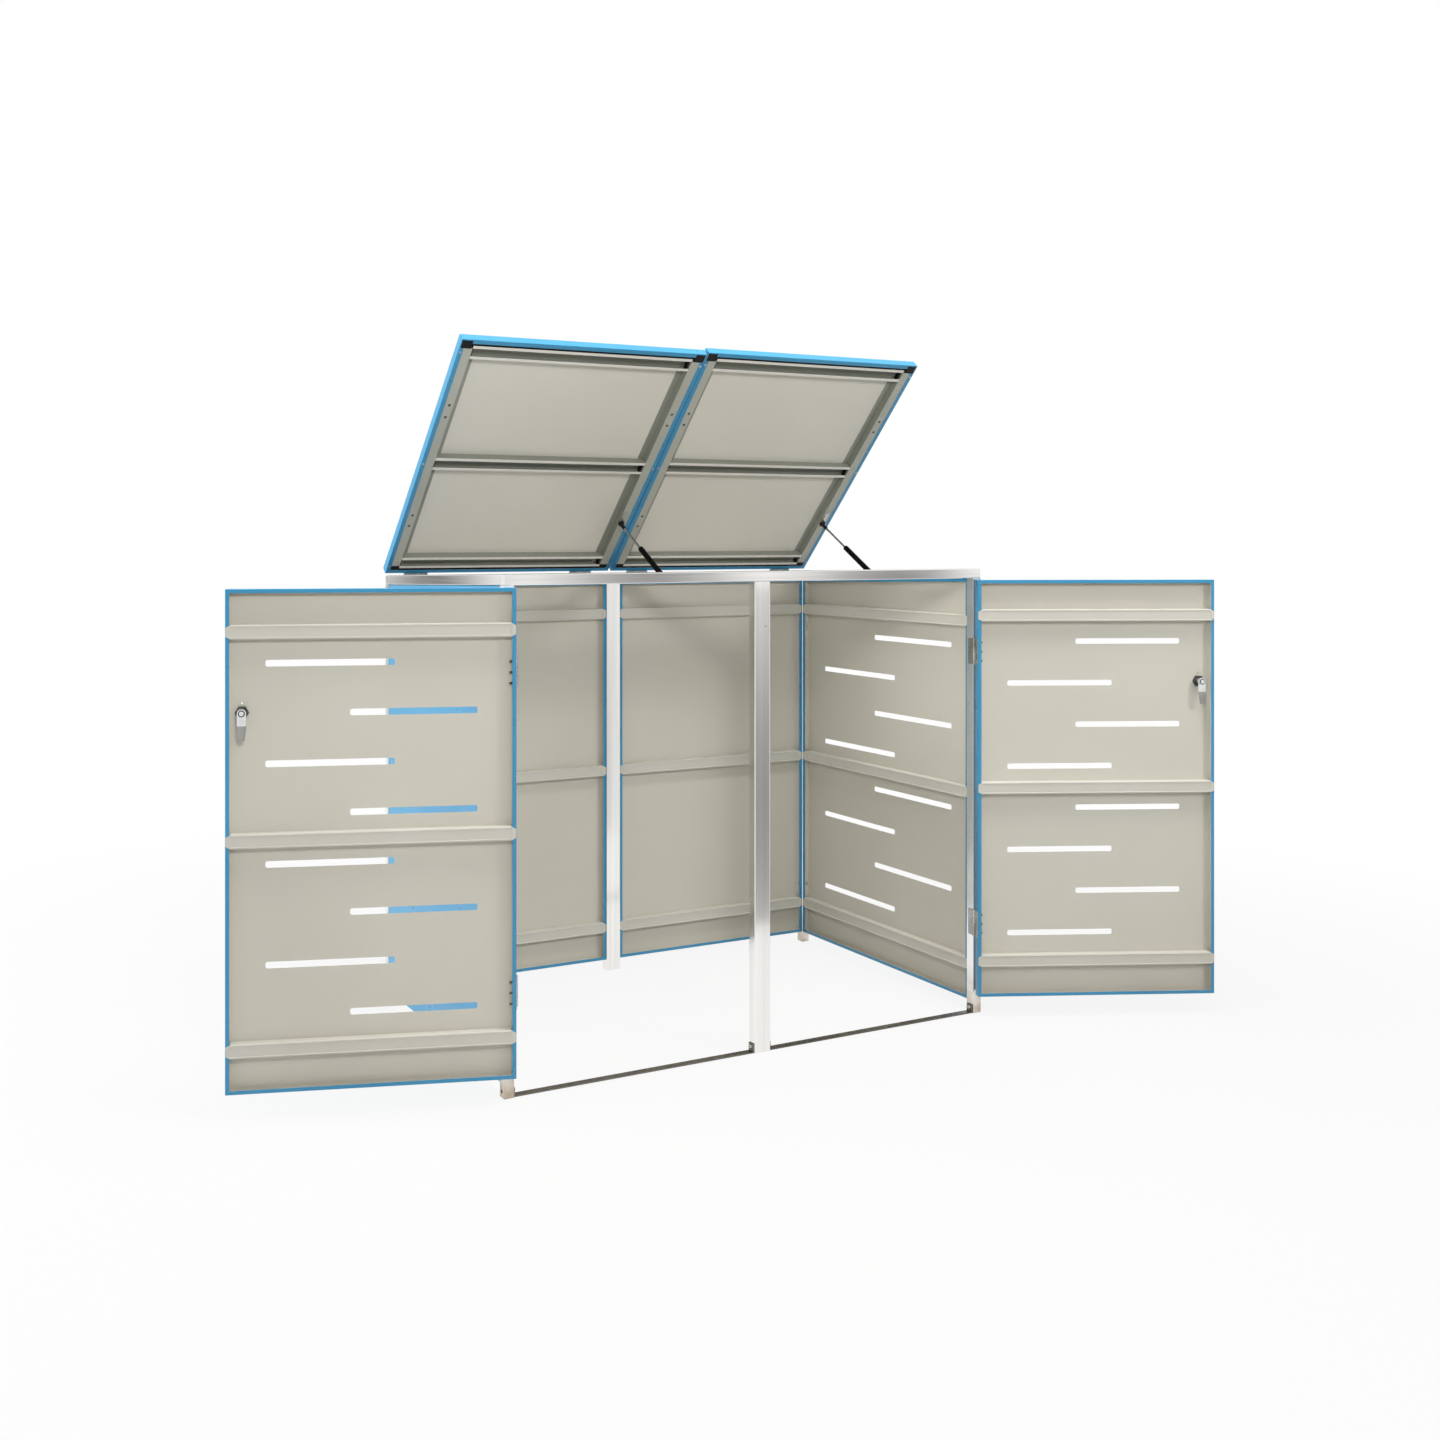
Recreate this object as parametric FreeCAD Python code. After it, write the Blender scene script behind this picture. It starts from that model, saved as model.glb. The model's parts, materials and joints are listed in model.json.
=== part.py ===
import FreeCAD, Part
import math
import os

Vector = FreeCAD.Vector

# Wheelie bin store for two bins, in millimetres.
# X = 0 is the plane between the two bays, Y = 0 runs through the middle of the front posts
# and Z = 0 is the ground. +Y points to the back. The doors and lids are modelled where they
# stand open, and each one is first built closed.

# Overall frame
frame_width = 1380.0
frame_depth = 780.0
front_height = 1170.0
roof_fall = 20.0
post_size = 25.0
mid_post_width = 45.0
tube_wall = 1.5
vent_radius = 3.0
vent_inset = 60.0

# How far a cutting shape reaches past the face that it cuts
cut_margin = 1.0

# Plugs in the feet of the posts
foot_plug_height = 8.0

# Floor strips between the front posts
strip_depth = 20.0
strip_thickness = 3.0
strip_tab_height = 22.0
strip_bolt_height = 14.0
strip_bolt_radius = 3.0
strip_bolt_head_radius = 5.5
strip_bolt_head_height = 3.5
strip_bolt_length = 14.0
strip_access_radius = 4.0
bolt_clearance = 0.1

# Folded sheet panels
sheet = 1.0
tray_depth = 20.0
tray_lip = 9.0
side_panel_recess = 1.0
fixed_panel_ground_gap = 30.0
fixed_panel_top_gap = 1.0

# Stiffening rails across each panel
rail_base_width = 31.5
rail_crown_width = 31.5
rail_sheet = 1.2
rail_end_margin = 93.0
rail_chamfer_length = 10.0
rail_chamfer_width = 6.0
rail_edge_gap = 1.0
rail_lip_gap = 2.0

# Ventilation slots
slot_height = 14.4
slot_corner = 4.5
slot_rows = 8
slot_end_margin = 162.0
slot_side_margin = 85.0
slot_length = 280.0
side_slot_length = 325.0

# Screws that hold the fixed panels to the posts
panel_screw_radius = 2.4
panel_screw_head_radius = 4.8
panel_screw_head_height = 2.4
panel_screw_length = 6.0
panel_screw_end_margin = 150.0
panel_screw_rows = 3

# Doors
door_side_gap = 5.0
door_ground_gap = 52.0
door_top_gap = 4.0
left_door_open = 197.0
right_door_open = 157.0
door_open_limit = 197.5

# Door hinges
hinge_length = 68.0
hinge_leaf = 1.6
hinge_leaf_reach = 23.0
hinge_knuckle_radius = 4.0
hinge_pin_radius = 2.5
hinge_pin_head_radius = 3.2
hinge_pin_head_height = 1.0
hinge_running_gap = 0.06
hinge_knuckle_gap = 0.4
hinge_stand_off = 4.5
door_hinge_margin = 188.0

# Door locks
lock_edge_distance = 35.0
lock_top_distance = 268.0
lock_face_radius = 11.0
lock_face_height = 3.0
lock_barrel_radius = 9.0
lock_barrel_length = 20.0
lock_nut_across = 27.0
lock_nut_height = 5.0
lock_plug_radius = 6.0
lock_plug_tail_radius = 5.0
lock_running_gap = 0.06
lock_seat_gap = 0.3
lock_cap_radius = 9.5
lock_cap_height = 2.5
lock_collar_radius = 7.5
lock_collar_height = 1.5
lock_hole_gap = 0.1
lock_stop_hole_radius = 1.8
lock_stop_hole_rise = 20.0
key_slot_width = 1.6
key_slot_length = 8.0
key_slot_depth = 2.0
cam_thickness = 2.5
cam_width = 20.0
cam_tip_width = 14.0
cam_length = 58.0
cam_crank_start = 27.0
cam_crank_end = 33.0
cam_crank_depth = 5.0

# Lids
lid_split_gap = 8.0
lid_front_overhang = 5.0
lid_depth = 22.0
lid_lip = 12.0
lid_seat_gap = 0.8
left_lid_open = 46.5
right_lid_open = 47.2
member_sheet = 1.2
side_member_plane = 24.0
side_member_foot = 18.0
cross_member_width = 40.0
cross_member_lip = 8.5
seal_width = 6.0
seal_height = 4.0
corner_block_length = 15.0
corner_block_width = 28.0
corner_rim = 3.0
end_plug_length = 5.0
end_plug_recess = 6.0
rivet_radius = 3.0
rivet_height = 1.2
rivet_front_margin = 39.0
rivet_back_margin = 29.0
flange_hole_radius = 2.3
flange_hole_spacing = 38.0
front_hole_reach = 570.0
back_hole_reach = 200.0

# Lid hinges
lid_pivot_behind = 5.0
lid_hinge_margin = 90.0
lid_hinge_leaf_reach = 21.0

# Gas struts
strut_stud_reach = 205.0
strut_stud_drop = 12.0
strut_edge_distance = 38.4
strut_base_forward = 387.0
strut_base_drop = 5.0
strut_tube_radius = 7.5
strut_tube_end = 148.0
strut_tube_start = 16.0
strut_tube_rounding = 2.5
strut_bore_start = 24.0
strut_rod_radius = 3.0
strut_rod_inside = 20.0
strut_running_gap = 0.06
strut_eye_radius = 7.0
strut_eye_width = 10.0
strut_neck_radius = 4.5
strut_socket_length = 26.0
strut_socket_radius = 4.8
strut_socket_grip = 14.0
strut_side_gap = 0.4
strut_pin_radius = 3.0
strut_pin_cap_radius = 5.0
strut_pin_cap_height = 1.5
strut_boss_radius = 5.5
stud_nut_radius = 4.5
stud_nut_height = 2.0
bracket_sheet = 2.5
bracket_plate_sheet = 1.5
bracket_plate_inner = 34.0
bracket_plate_outer = 20.0
bracket_plate_front = 32.0
bracket_plate_back = 10.0
bracket_ear_half_width = 9.0
bracket_ear_below = 7.0
bracket_screw_radius = 2.5
bracket_screw_height = 1.1
bracket_screw_places = (16.0, 26.0)
bracket_screw_edge = 28.5
rail_plate_radius = 10.0

# Sizes worked out from the ones above
half_width = frame_width / 2
half_post = post_size / 2
half_mid_post = mid_post_width / 2
back_height = front_height - roof_fall
front_face = -half_post
back_face = frame_depth - half_post
rail_front = half_post
panel_screw_depth = side_panel_recess + tray_depth / 2
rail_back = back_face - post_size
roof_slope = roof_fall / (rail_back - rail_front)
bay_left = -half_width + post_size
bay_right = -half_mid_post

door_left = bay_left + door_side_gap
door_right = bay_right - door_side_gap
door_width = door_right - door_left
door_top = front_height - post_size - door_top_gap
door_height = door_top - door_ground_gap
door_pivot = Vector(bay_left + door_side_gap / 2, front_face - hinge_stand_off, 0)

lid_pivot = Vector(0, back_face + lid_pivot_behind, back_height)
lid_width = half_width - lid_split_gap / 2
lid_left = -half_width
lid_right = lid_left + lid_width
lid_back = -lid_pivot_behind
lid_front = front_face - lid_front_overhang - lid_pivot.y
lid_underside = lid_seat_gap
lid_top = lid_underside + lid_depth
lid_shift = Vector(half_width + lid_split_gap / 2, 0, 0)

X_AXIS = Vector(1, 0, 0)
Y_AXIS = Vector(0, 1, 0)
Z_AXIS = Vector(0, 0, 1)
ORIGIN = Vector(0, 0, 0)

nodes = {}


def keep(name, *shapes):
    """Store one node, as a single solid or as a group of separate solids."""
    solids = []
    for shape in shapes:
        solids.extend(shape.Solids)
    nodes[name] = solids[0] if len(solids) == 1 else Part.makeCompound(solids)


def block(x_range, y_range, z_range):
    size = [span[1] - span[0] for span in (x_range, y_range, z_range)]
    return Part.makeBox(size[0], size[1], size[2], Vector(x_range[0], y_range[0], z_range[0]))


def rod(radius, start, end):
    return Part.makeCylinder(radius, (end - start).Length, start, end - start)


def polygon(points):
    corners = [Vector(*point) for point in points]
    return Part.Face(Part.makePolygon(corners + corners[:1]))


def fused(shapes):
    return shapes[0].multiFuse(shapes[1:]).removeSplitter()


def turned(shape, angle, centre=ORIGIN, axis=Z_AXIS):
    copy = shape.copy()
    copy.rotate(centre, axis, angle)
    return copy


def moved(shape, offset):
    copy = shape.copy()
    copy.translate(offset)
    return copy


def mirrored(shape):
    """The same piece on the other side of the plane between the bays."""
    return shape.mirror(ORIGIN, X_AXIS)


def inset(outline, distance):
    """A convex outline, listed anticlockwise, moved inwards by a distance."""
    count = len(outline)
    lines = []
    for index in range(count):
        x0, y0 = outline[index]
        x1, y1 = outline[(index + 1) % count]
        length = math.hypot(x1 - x0, y1 - y0)
        normal = (-(y1 - y0) / length, (x1 - x0) / length)
        offset = normal[0] * x0 + normal[1] * y0 + distance
        lines.append((normal[0], normal[1], offset))
    result = []
    for index in range(count):
        a0, b0, c0 = lines[index - 1]
        a1, b1, c1 = lines[index]
        det = a0 * b1 - a1 * b0
        result.append(((c0 * b1 - c1 * b0) / det, (a0 * c1 - a1 * c0) / det))
    return result


def flat_face(outline, height):
    return polygon([(u, v, height) for u, v in outline])


def tray(outline, depth, lip):
    """A folded sheet: its outer face lies at w = 0 and its lips at w = -depth."""
    outer = flat_face(outline, 0)
    inner = flat_face(inset(outline, sheet), 0)
    window = flat_face(inset(outline, lip), -depth + sheet)
    skin = outer.extrude(Vector(0, 0, -sheet))
    wall = outer.cut(inner).extrude(Vector(0, 0, -depth))
    rim = flat_face(outline, -depth + sheet).cut(window).extrude(Vector(0, 0, -sheet))
    return fused([skin, wall, rim])


def slot_cutter(length, centre_u, centre_v):
    u_range = (centre_u - length / 2, centre_u + length / 2)
    v_range = (centre_v - slot_height / 2, centre_v + slot_height / 2)
    cutter = block(u_range, v_range, (-sheet - cut_margin, cut_margin))
    return cutter.makeFillet(slot_corner, upright_edges(cutter))


def upright_edges(box):
    """The four edges of a plain box that run along w."""
    return [edge for edge in box.Edges if abs(edge.Vertexes[0].Z - edge.Vertexes[1].Z) > sheet]


def slotted(panel, width, low, high, length):
    """Cut the staggered rows of slots. The top row lies at the end away from u = 0."""
    pitch = (high - low - 2 * slot_end_margin) / (slot_rows - 1)
    near = slot_side_margin + length / 2
    far = width - slot_side_margin - length / 2
    cutters = []
    for row in range(slot_rows):
        centre_u = near if row % 2 else far
        cutters.append(slot_cutter(length, centre_u, high - slot_end_margin - row * pitch))
    return panel.cut(Part.makeCompound(cutters))


def stiffener(width, centre_v):
    """One shallow channel across a tray, with its crown on the lips."""
    base = rail_base_width / 2
    crown = rail_crown_width / 2
    inner_start = tray_lip + rail_lip_gap
    inner_length = width - 2 * inner_start
    pieces = []
    for side in (-1, 1):
        profile = [
            (inner_start, centre_v + side * base, -sheet),
            (inner_start, centre_v + side * (base - rail_sheet), -sheet),
            (inner_start, centre_v + side * (crown - rail_sheet), -tray_depth),
            (inner_start, centre_v + side * crown, -tray_depth),
        ]
        pieces.append(polygon(profile).extrude(Vector(inner_length, 0, 0)))
    start = rail_edge_gap
    end = width - rail_edge_gap
    inner = crown - rail_chamfer_width
    plate = [
        (start, centre_v - inner),
        (start + rail_chamfer_length, centre_v - crown),
        (end - rail_chamfer_length, centre_v - crown),
        (end, centre_v - inner),
        (end, centre_v + inner),
        (end - rail_chamfer_length, centre_v + crown),
        (start + rail_chamfer_length, centre_v + crown),
        (start, centre_v + inner),
    ]
    pieces.append(flat_face(plate, -tray_depth).extrude(Vector(0, 0, -rail_sheet)))
    return fused(pieces)


def stiffeners(width, low, high):
    heights = (high - rail_end_margin, (high + low) / 2, low + rail_end_margin)
    return [stiffener(width, centre_v) for centre_v in heights]


def stand_up(shape, yaw, corner):
    """Stand a flat panel up: u runs level, v runs up and the open side turns with yaw."""
    upright = turned(shape, 90, ORIGIN, X_AXIS)
    return moved(turned(upright, yaw), corner)


def square_tube(x_range, y_range, z_range, along):
    """A square tube along axis 0, 1 or 2, open at both ends."""
    spans = [x_range, y_range, z_range]
    bore = []
    for index, span in enumerate(spans):
        if index == along:
            bore.append((span[0] - tube_wall, span[1] + tube_wall))
        else:
            bore.append((span[0] + tube_wall, span[1] - tube_wall))
    return block(*spans).cut(block(*bore))


def hinge_pair(leaf_reach, flat_gap):
    """A butt hinge about Z, centred on the origin: fixed leaf at -X, moving leaf at +X, pin."""
    half = hinge_length / 2
    third = hinge_length / 6
    plate_x = flat_gap / 2
    relief = hinge_knuckle_radius + hinge_knuckle_gap
    middle = (-third, third)
    ends = ((-half, -third - hinge_knuckle_gap), (third + hinge_knuckle_gap, half))
    bore = hinge_pin_radius + hinge_running_gap

    def knuckle(z_range):
        return rod(hinge_knuckle_radius, Vector(0, 0, z_range[0]), Vector(0, 0, z_range[1]))

    fixed_plate = block((-plate_x, -plate_x + hinge_leaf), (0, leaf_reach), (-half, half))
    moving_plate = block((plate_x - hinge_leaf, plate_x), (0, leaf_reach), (-half, half))
    middle_end = third + hinge_knuckle_gap
    past_end = half + cut_margin
    clear_middle = rod(relief, Vector(0, 0, -middle_end), Vector(0, 0, middle_end))
    clear_low = rod(relief, Vector(0, 0, -past_end), Vector(0, 0, -third))
    clear_high = rod(relief, Vector(0, 0, third), Vector(0, 0, past_end))
    fixed = fused([fixed_plate.cut(clear_middle), knuckle(ends[0]), knuckle(ends[1])])
    moving = fused([moving_plate.cut(clear_low).cut(clear_high), knuckle(middle)])
    long_bore = rod(bore, Vector(0, 0, -past_end), Vector(0, 0, past_end))
    head_low = Vector(0, 0, half)
    pin = fused([
        rod(hinge_pin_radius, Vector(0, 0, -half), head_low),
        rod(hinge_pin_head_radius, head_low, Vector(0, 0, half + hinge_pin_head_height)),
    ])
    return fixed.cut(long_bore), moving.cut(long_bore), pin


def front_posts():
    height = front_height - post_size
    corner = square_tube((-half_width, bay_left), (-half_post, half_post), (0, height), 2)
    middle = square_tube((-half_mid_post, half_mid_post), (-half_post, half_post), (0, height), 2)
    for side in (-1, 1):
        face = side * half_mid_post
        middle = middle.cut(strip_bolt_hole(face, -side))
    corner = corner.cut(strip_bolt_hole(bay_left, -1))
    access_start = Vector(-half_width - cut_margin, 0, strip_bolt_height)
    access_end = Vector(-half_width + 2 * tube_wall, 0, strip_bolt_height)
    corner = corner.cut(rod(strip_access_radius, access_start, access_end))
    corner = corner.cut(side_screw_holes(rail_front, -Y_AXIS))
    return corner, middle


def strip_bolt_hole(face_x, direction):
    start = Vector(face_x - direction * cut_margin, 0, strip_bolt_height)
    end = Vector(face_x + direction * 2 * tube_wall, 0, strip_bolt_height)
    return rod(strip_bolt_radius + bolt_clearance, start, end)


def screw_heights():
    low = fixed_panel_ground_gap + panel_screw_end_margin
    high = back_height - post_size - panel_screw_end_margin
    step = (high - low) / (panel_screw_rows - 1)
    return [low + row * step for row in range(panel_screw_rows)]


def side_screw_seats(face_y):
    """Points on a post face where the left side panel's screws enter."""
    x = -half_width + panel_screw_depth
    return [Vector(x, face_y, z) for z in screw_heights()]


def back_screw_seats(face_x):
    """Points on a post face where a back panel's screws enter."""
    y = back_face - panel_screw_depth
    return [Vector(face_x, y, z) for z in screw_heights()]


def screw_holes(seats, direction):
    """Holes through a panel's fold and a post's wall, at each seat."""
    holes = []
    for seat in seats:
        start = seat - direction * 2 * sheet
        end = seat + direction * 2 * tube_wall
        holes.append(rod(panel_screw_radius + bolt_clearance, start, end))
    return Part.makeCompound(holes)


def side_screw_holes(face_y, direction):
    return screw_holes(side_screw_seats(face_y), direction)


def back_screw_holes(face_x, direction):
    return screw_holes(back_screw_seats(face_x), direction)


def back_posts():
    height = back_height - post_size
    depth = (rail_back, back_face)
    corner = square_tube((-half_width, bay_left), depth, (0, height), 2)
    middle = square_tube((-half_mid_post, half_mid_post), depth, (0, height), 2)
    corner = corner.cut(side_screw_holes(rail_back, Y_AXIS))
    corner = corner.cut(back_screw_holes(bay_left, -X_AXIS))
    middle = middle.cut(back_screw_holes(-half_mid_post, X_AXIS))
    middle = middle.cut(back_screw_holes(half_mid_post, -X_AXIS))
    return corner, middle


def foot_plugs():
    """Plastic plugs that fill the bottom ends of the six posts."""
    plugs = []
    inner_depth = half_post - tube_wall
    for centre_y in (0, back_face - half_post):
        y_range = (centre_y - inner_depth, centre_y + inner_depth)
        for x_range in ((-half_width, bay_left), (-half_mid_post, half_mid_post), (-bay_left, half_width)):
            inner_x = (x_range[0] + tube_wall, x_range[1] - tube_wall)
            plugs.append(block(inner_x, y_range, (0, foot_plug_height)))
    return plugs


def cross_beam(y_range, top):
    """A beam across the store, closed at its ends and vented underneath."""
    outer = block((-half_width, half_width), y_range, (top - post_size, top))
    inner_x = half_width - tube_wall
    inner = block(
        (-inner_x, inner_x),
        (y_range[0] + tube_wall, y_range[1] - tube_wall),
        (top - post_size + tube_wall, top - tube_wall),
    )
    beam = outer.cut(inner)
    middle_y = (y_range[0] + y_range[1]) / 2
    for side in (-1, 1):
        x = side * (bay_left + vent_inset)
        low = Vector(x, middle_y, top - post_size - cut_margin)
        high = Vector(x, middle_y, top - post_size + tube_wall + cut_margin)
        beam = beam.cut(rod(vent_radius, low, high))
    return beam


def sloped_rail(x_range):
    """A rail from front to back that falls towards the back."""
    def side_face(x, margin):
        front = front_height - margin
        back = back_height - margin
        height = post_size - 2 * margin
        return polygon([
            (x, rail_front, front - height),
            (x, rail_back, back - height),
            (x, rail_back, back),
            (x, rail_front, front),
        ])
    width = x_range[1] - x_range[0]
    outer = side_face(x_range[0], 0).extrude(Vector(width, 0, 0))
    inner = side_face(x_range[0] + tube_wall, tube_wall).extrude(Vector(width - 2 * tube_wall, 0, 0))
    return outer.cut(inner)


def floor_strip():
    bar = block((bay_left, bay_right), (-strip_depth / 2, strip_depth / 2), (0, strip_thickness))
    pieces = [bar]
    for inner, outer in ((bay_left + strip_thickness, bay_left), (bay_right - strip_thickness, bay_right)):
        x_range = (min(inner, outer), max(inner, outer))
        pieces.append(block(x_range, (-strip_depth / 2, strip_depth / 2), (0, strip_tab_height)))
    strip = fused(pieces)
    for face in (bay_left, bay_right):
        start = Vector(face - 2 * strip_thickness, 0, strip_bolt_height)
        end = Vector(face + 2 * strip_thickness, 0, strip_bolt_height)
        strip = strip.cut(rod(strip_bolt_radius + bolt_clearance, start, end))
    return strip


def floor_strip_bolts():
    """Dome-headed bolts from each strip's tabs into the posts, for the left bay."""
    bolts = []
    for face, direction in ((bay_left, -1), (bay_right, 1)):
        head_face = Vector(face - direction * strip_thickness, 0, strip_bolt_height)
        tip = head_face + X_AXIS * (direction * strip_bolt_length)
        head_top = head_face - X_AXIS * (direction * strip_bolt_head_height)
        head = rod(strip_bolt_head_radius, head_top, head_face)
        bolts.append(fused([rod(strip_bolt_radius, head_face, tip), head]))
    return bolts


def side_panel():
    """The left side panel, its stiffening rails and its screws."""
    width = rail_back - rail_front
    front_top = front_height - post_size - fixed_panel_top_gap
    back_top = front_top - width * roof_slope
    low = fixed_panel_ground_gap
    outline = [(0, low), (width, low), (width, front_top), (0, back_top)]
    panel = tray(outline, tray_depth, tray_lip)
    panel = slotted(panel, width, low, back_top, side_slot_length)
    corner = Vector(-half_width + side_panel_recess, rail_back, 0)
    panel = stand_up(panel, -90, corner)
    rails = [stand_up(rail, -90, corner) for rail in stiffeners(width, low, back_top)]
    screws = []
    for face_y, direction in ((rail_front, -Y_AXIS), (rail_back, Y_AXIS)):
        panel = panel.cut(side_screw_holes(face_y, direction))
        screws.extend(panel_screw(seat, direction) for seat in side_screw_seats(face_y))
    return panel, rails, screws


def panel_screw(seat, direction):
    """A screw through a panel's fold, with its head inside the tray."""
    head_face = seat - direction * sheet
    shank = rod(panel_screw_radius, head_face, head_face + direction * panel_screw_length)
    head = rod(panel_screw_head_radius, head_face - direction * panel_screw_head_height, head_face)
    return fused([shank, head])


def back_panel():
    """The left back panel, its stiffening rails and its screws."""
    width = bay_right - bay_left
    low = fixed_panel_ground_gap
    high = back_height - post_size - fixed_panel_top_gap
    panel = tray([(0, low), (width, low), (width, high), (0, high)], tray_depth, tray_lip)
    corner = Vector(bay_right, back_face - side_panel_recess, 0)
    panel = stand_up(panel, 180, corner)
    rails = [stand_up(rail, 180, corner) for rail in stiffeners(width, low, high)]
    screws = []
    for face_x, direction in ((bay_left, -X_AXIS), (bay_right, X_AXIS)):
        panel = panel.cut(back_screw_holes(face_x, direction))
        screws.extend(panel_screw(seat, direction) for seat in back_screw_seats(face_x))
    return panel, rails, screws


def door_hinges():
    """The left door's two hinges in the closed place: fixed leaves, moving leaves and pins."""
    fixed, moving, pin = hinge_pair(hinge_leaf_reach, door_side_gap)
    groups = ([], [], [])
    for z in (door_top - door_hinge_margin, door_ground_gap + door_hinge_margin):
        place = door_pivot + Vector(0, 0, z)
        for group, shape in zip(groups, (fixed, moving, pin)):
            group.append(moved(shape, place))
    return groups


def door_tray():
    outline = [(0, door_ground_gap), (door_width, door_ground_gap), (door_width, door_top), (0, door_top)]
    panel = tray(outline, tray_depth, tray_lip)
    panel = slotted(panel, door_width, door_ground_gap, door_top, slot_length)
    panel = stand_up(panel, 0, Vector(door_left, front_face, 0))
    centre = lock_centre()
    hole = rod(lock_barrel_radius + lock_hole_gap, centre - Y_AXIS, centre + Y_AXIS * 2 * sheet)
    stop = centre + Z_AXIS * lock_stop_hole_rise
    stop_hole = rod(lock_stop_hole_radius, stop - Y_AXIS, stop + Y_AXIS * 2 * sheet)
    return panel.cut(hole).cut(stop_hole)


def door_stiffeners():
    corner = Vector(door_left, front_face, 0)
    return [stand_up(rail, 0, corner) for rail in stiffeners(door_width, door_ground_gap, door_top)]


def lock_centre():
    """Where the lock's axis meets the outer face of the left door's skin."""
    return Vector(door_right - lock_edge_distance, front_face, door_top - lock_top_distance)


def lock_fixed_parts():
    centre = lock_centre()
    inner_end = centre + Y_AXIS * (sheet + lock_barrel_length)
    barrel = fused([
        rod(lock_face_radius, centre - Y_AXIS * lock_face_height, centre),
        rod(lock_barrel_radius, centre, inner_end),
    ])
    bore_start = centre - Y_AXIS * (lock_face_height + cut_margin)
    collar_seat = centre - Y_AXIS * (lock_face_height - lock_collar_height - lock_seat_gap)
    barrel = barrel.cut(rod(lock_plug_radius + lock_running_gap, bore_start, inner_end + Y_AXIS))
    barrel = barrel.cut(rod(lock_collar_radius + lock_running_gap, bore_start, collar_seat))
    nut_start = centre + Y_AXIS * sheet
    nut_radius = lock_nut_across / 2 / math.cos(math.radians(30))
    corners = []
    for index in range(6):
        angle = math.radians(60 * index)
        corners.append((
            nut_start.x + nut_radius * math.cos(angle),
            nut_start.y,
            nut_start.z + nut_radius * math.sin(angle),
        ))
    nut = polygon(corners).extrude(Vector(0, lock_nut_height, 0))
    nut = nut.cut(rod(lock_barrel_radius + lock_hole_gap, centre, inner_end))
    return barrel, nut


def lock_turning_parts():
    """The plug with its end cap, and the cam, which hangs down when the lock is free."""
    centre = lock_centre()
    barrel_end = sheet + lock_barrel_length
    cam_start = barrel_end + lock_seat_gap
    cam_end = cam_start + cam_thickness

    def along(distance):
        return centre + Y_AXIS * distance

    plug = fused([
        rod(lock_collar_radius, along(-lock_face_height), along(lock_collar_height - lock_face_height)),
        rod(lock_plug_radius, along(-lock_face_height), along(barrel_end + lock_seat_gap)),
        rod(lock_plug_tail_radius, along(barrel_end), along(cam_end)),
        rod(lock_cap_radius, along(cam_end), along(cam_end + lock_cap_height)),
    ])
    slot_front = centre.y - lock_face_height
    half_slot = key_slot_width / 2
    half_length = key_slot_length / 2
    plug = plug.cut(block(
        (centre.x - half_slot, centre.x + half_slot),
        (slot_front - cut_margin, slot_front + key_slot_depth),
        (centre.z - half_length, centre.z + half_length),
    ))

    back = centre.y + cam_start
    low = back + cam_crank_depth
    profile = [
        (centre.x, back, centre.z + cam_width / 2),
        (centre.x, back, centre.z - cam_crank_start),
        (centre.x, low, centre.z - cam_crank_end),
        (centre.x, low, centre.z - cam_length),
        (centre.x, low + cam_thickness, centre.z - cam_length),
        (centre.x, low + cam_thickness, centre.z - cam_crank_end),
        (centre.x, back + cam_thickness, centre.z - cam_crank_start),
        (centre.x, back + cam_thickness, centre.z + cam_width / 2),
    ]
    strap = polygon(profile).extrude(Vector(cam_width, 0, 0))
    strap.translate(Vector(-cam_width / 2, 0, 0))
    half = cam_width / 2
    tip = cam_tip_width / 2
    start = back - cut_margin
    outline = polygon([
        (centre.x - half, start, centre.z),
        (centre.x - half, start, centre.z - cam_crank_end),
        (centre.x - tip, start, centre.z - cam_length),
        (centre.x + tip, start, centre.z - cam_length),
        (centre.x + half, start, centre.z - cam_crank_end),
        (centre.x + half, start, centre.z),
    ]).extrude(Vector(0, cam_crank_depth + cam_thickness + 2 * cut_margin, 0))
    before = along(cam_start - cut_margin)
    after = along(cam_end + cut_margin)
    round_head = rod(half, before, after)
    cam = strap.common(outline.fuse(round_head)).removeSplitter()
    cam = cam.cut(rod(lock_plug_tail_radius, before, after))
    return plug, cam


def lid_skin():
    outline = [(lid_left, lid_front), (lid_right, lid_front), (lid_right, lid_back), (lid_left, lid_back)]
    skin = moved(tray(outline, lid_depth, lid_lip), Z_AXIS * lid_top)
    return skin.cut(Part.makeCompound(front_corner_blocks()))


def front_corner_blocks():
    """Plastic blocks that fill a notch in the lips at the front corners."""
    start = lid_front + corner_rim
    blocks = []
    for edge, direction in ((lid_left, 1), (lid_right, -1)):
        first = edge + direction * corner_rim
        x_range = sorted((first, first + direction * corner_block_width))
        blocks.append(block(x_range, (start, lid_member_ends()[0]), (lid_underside, lid_top - sheet)))
    return blocks


def lid_inner_levels():
    """Heights of the space between a lid's lips and its skin."""
    return lid_underside + sheet, lid_top - sheet


def lid_member_ends():
    """How far the side members reach from back to front."""
    reach = lid_lip + corner_block_length
    return lid_front + reach, lid_back - reach


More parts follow.
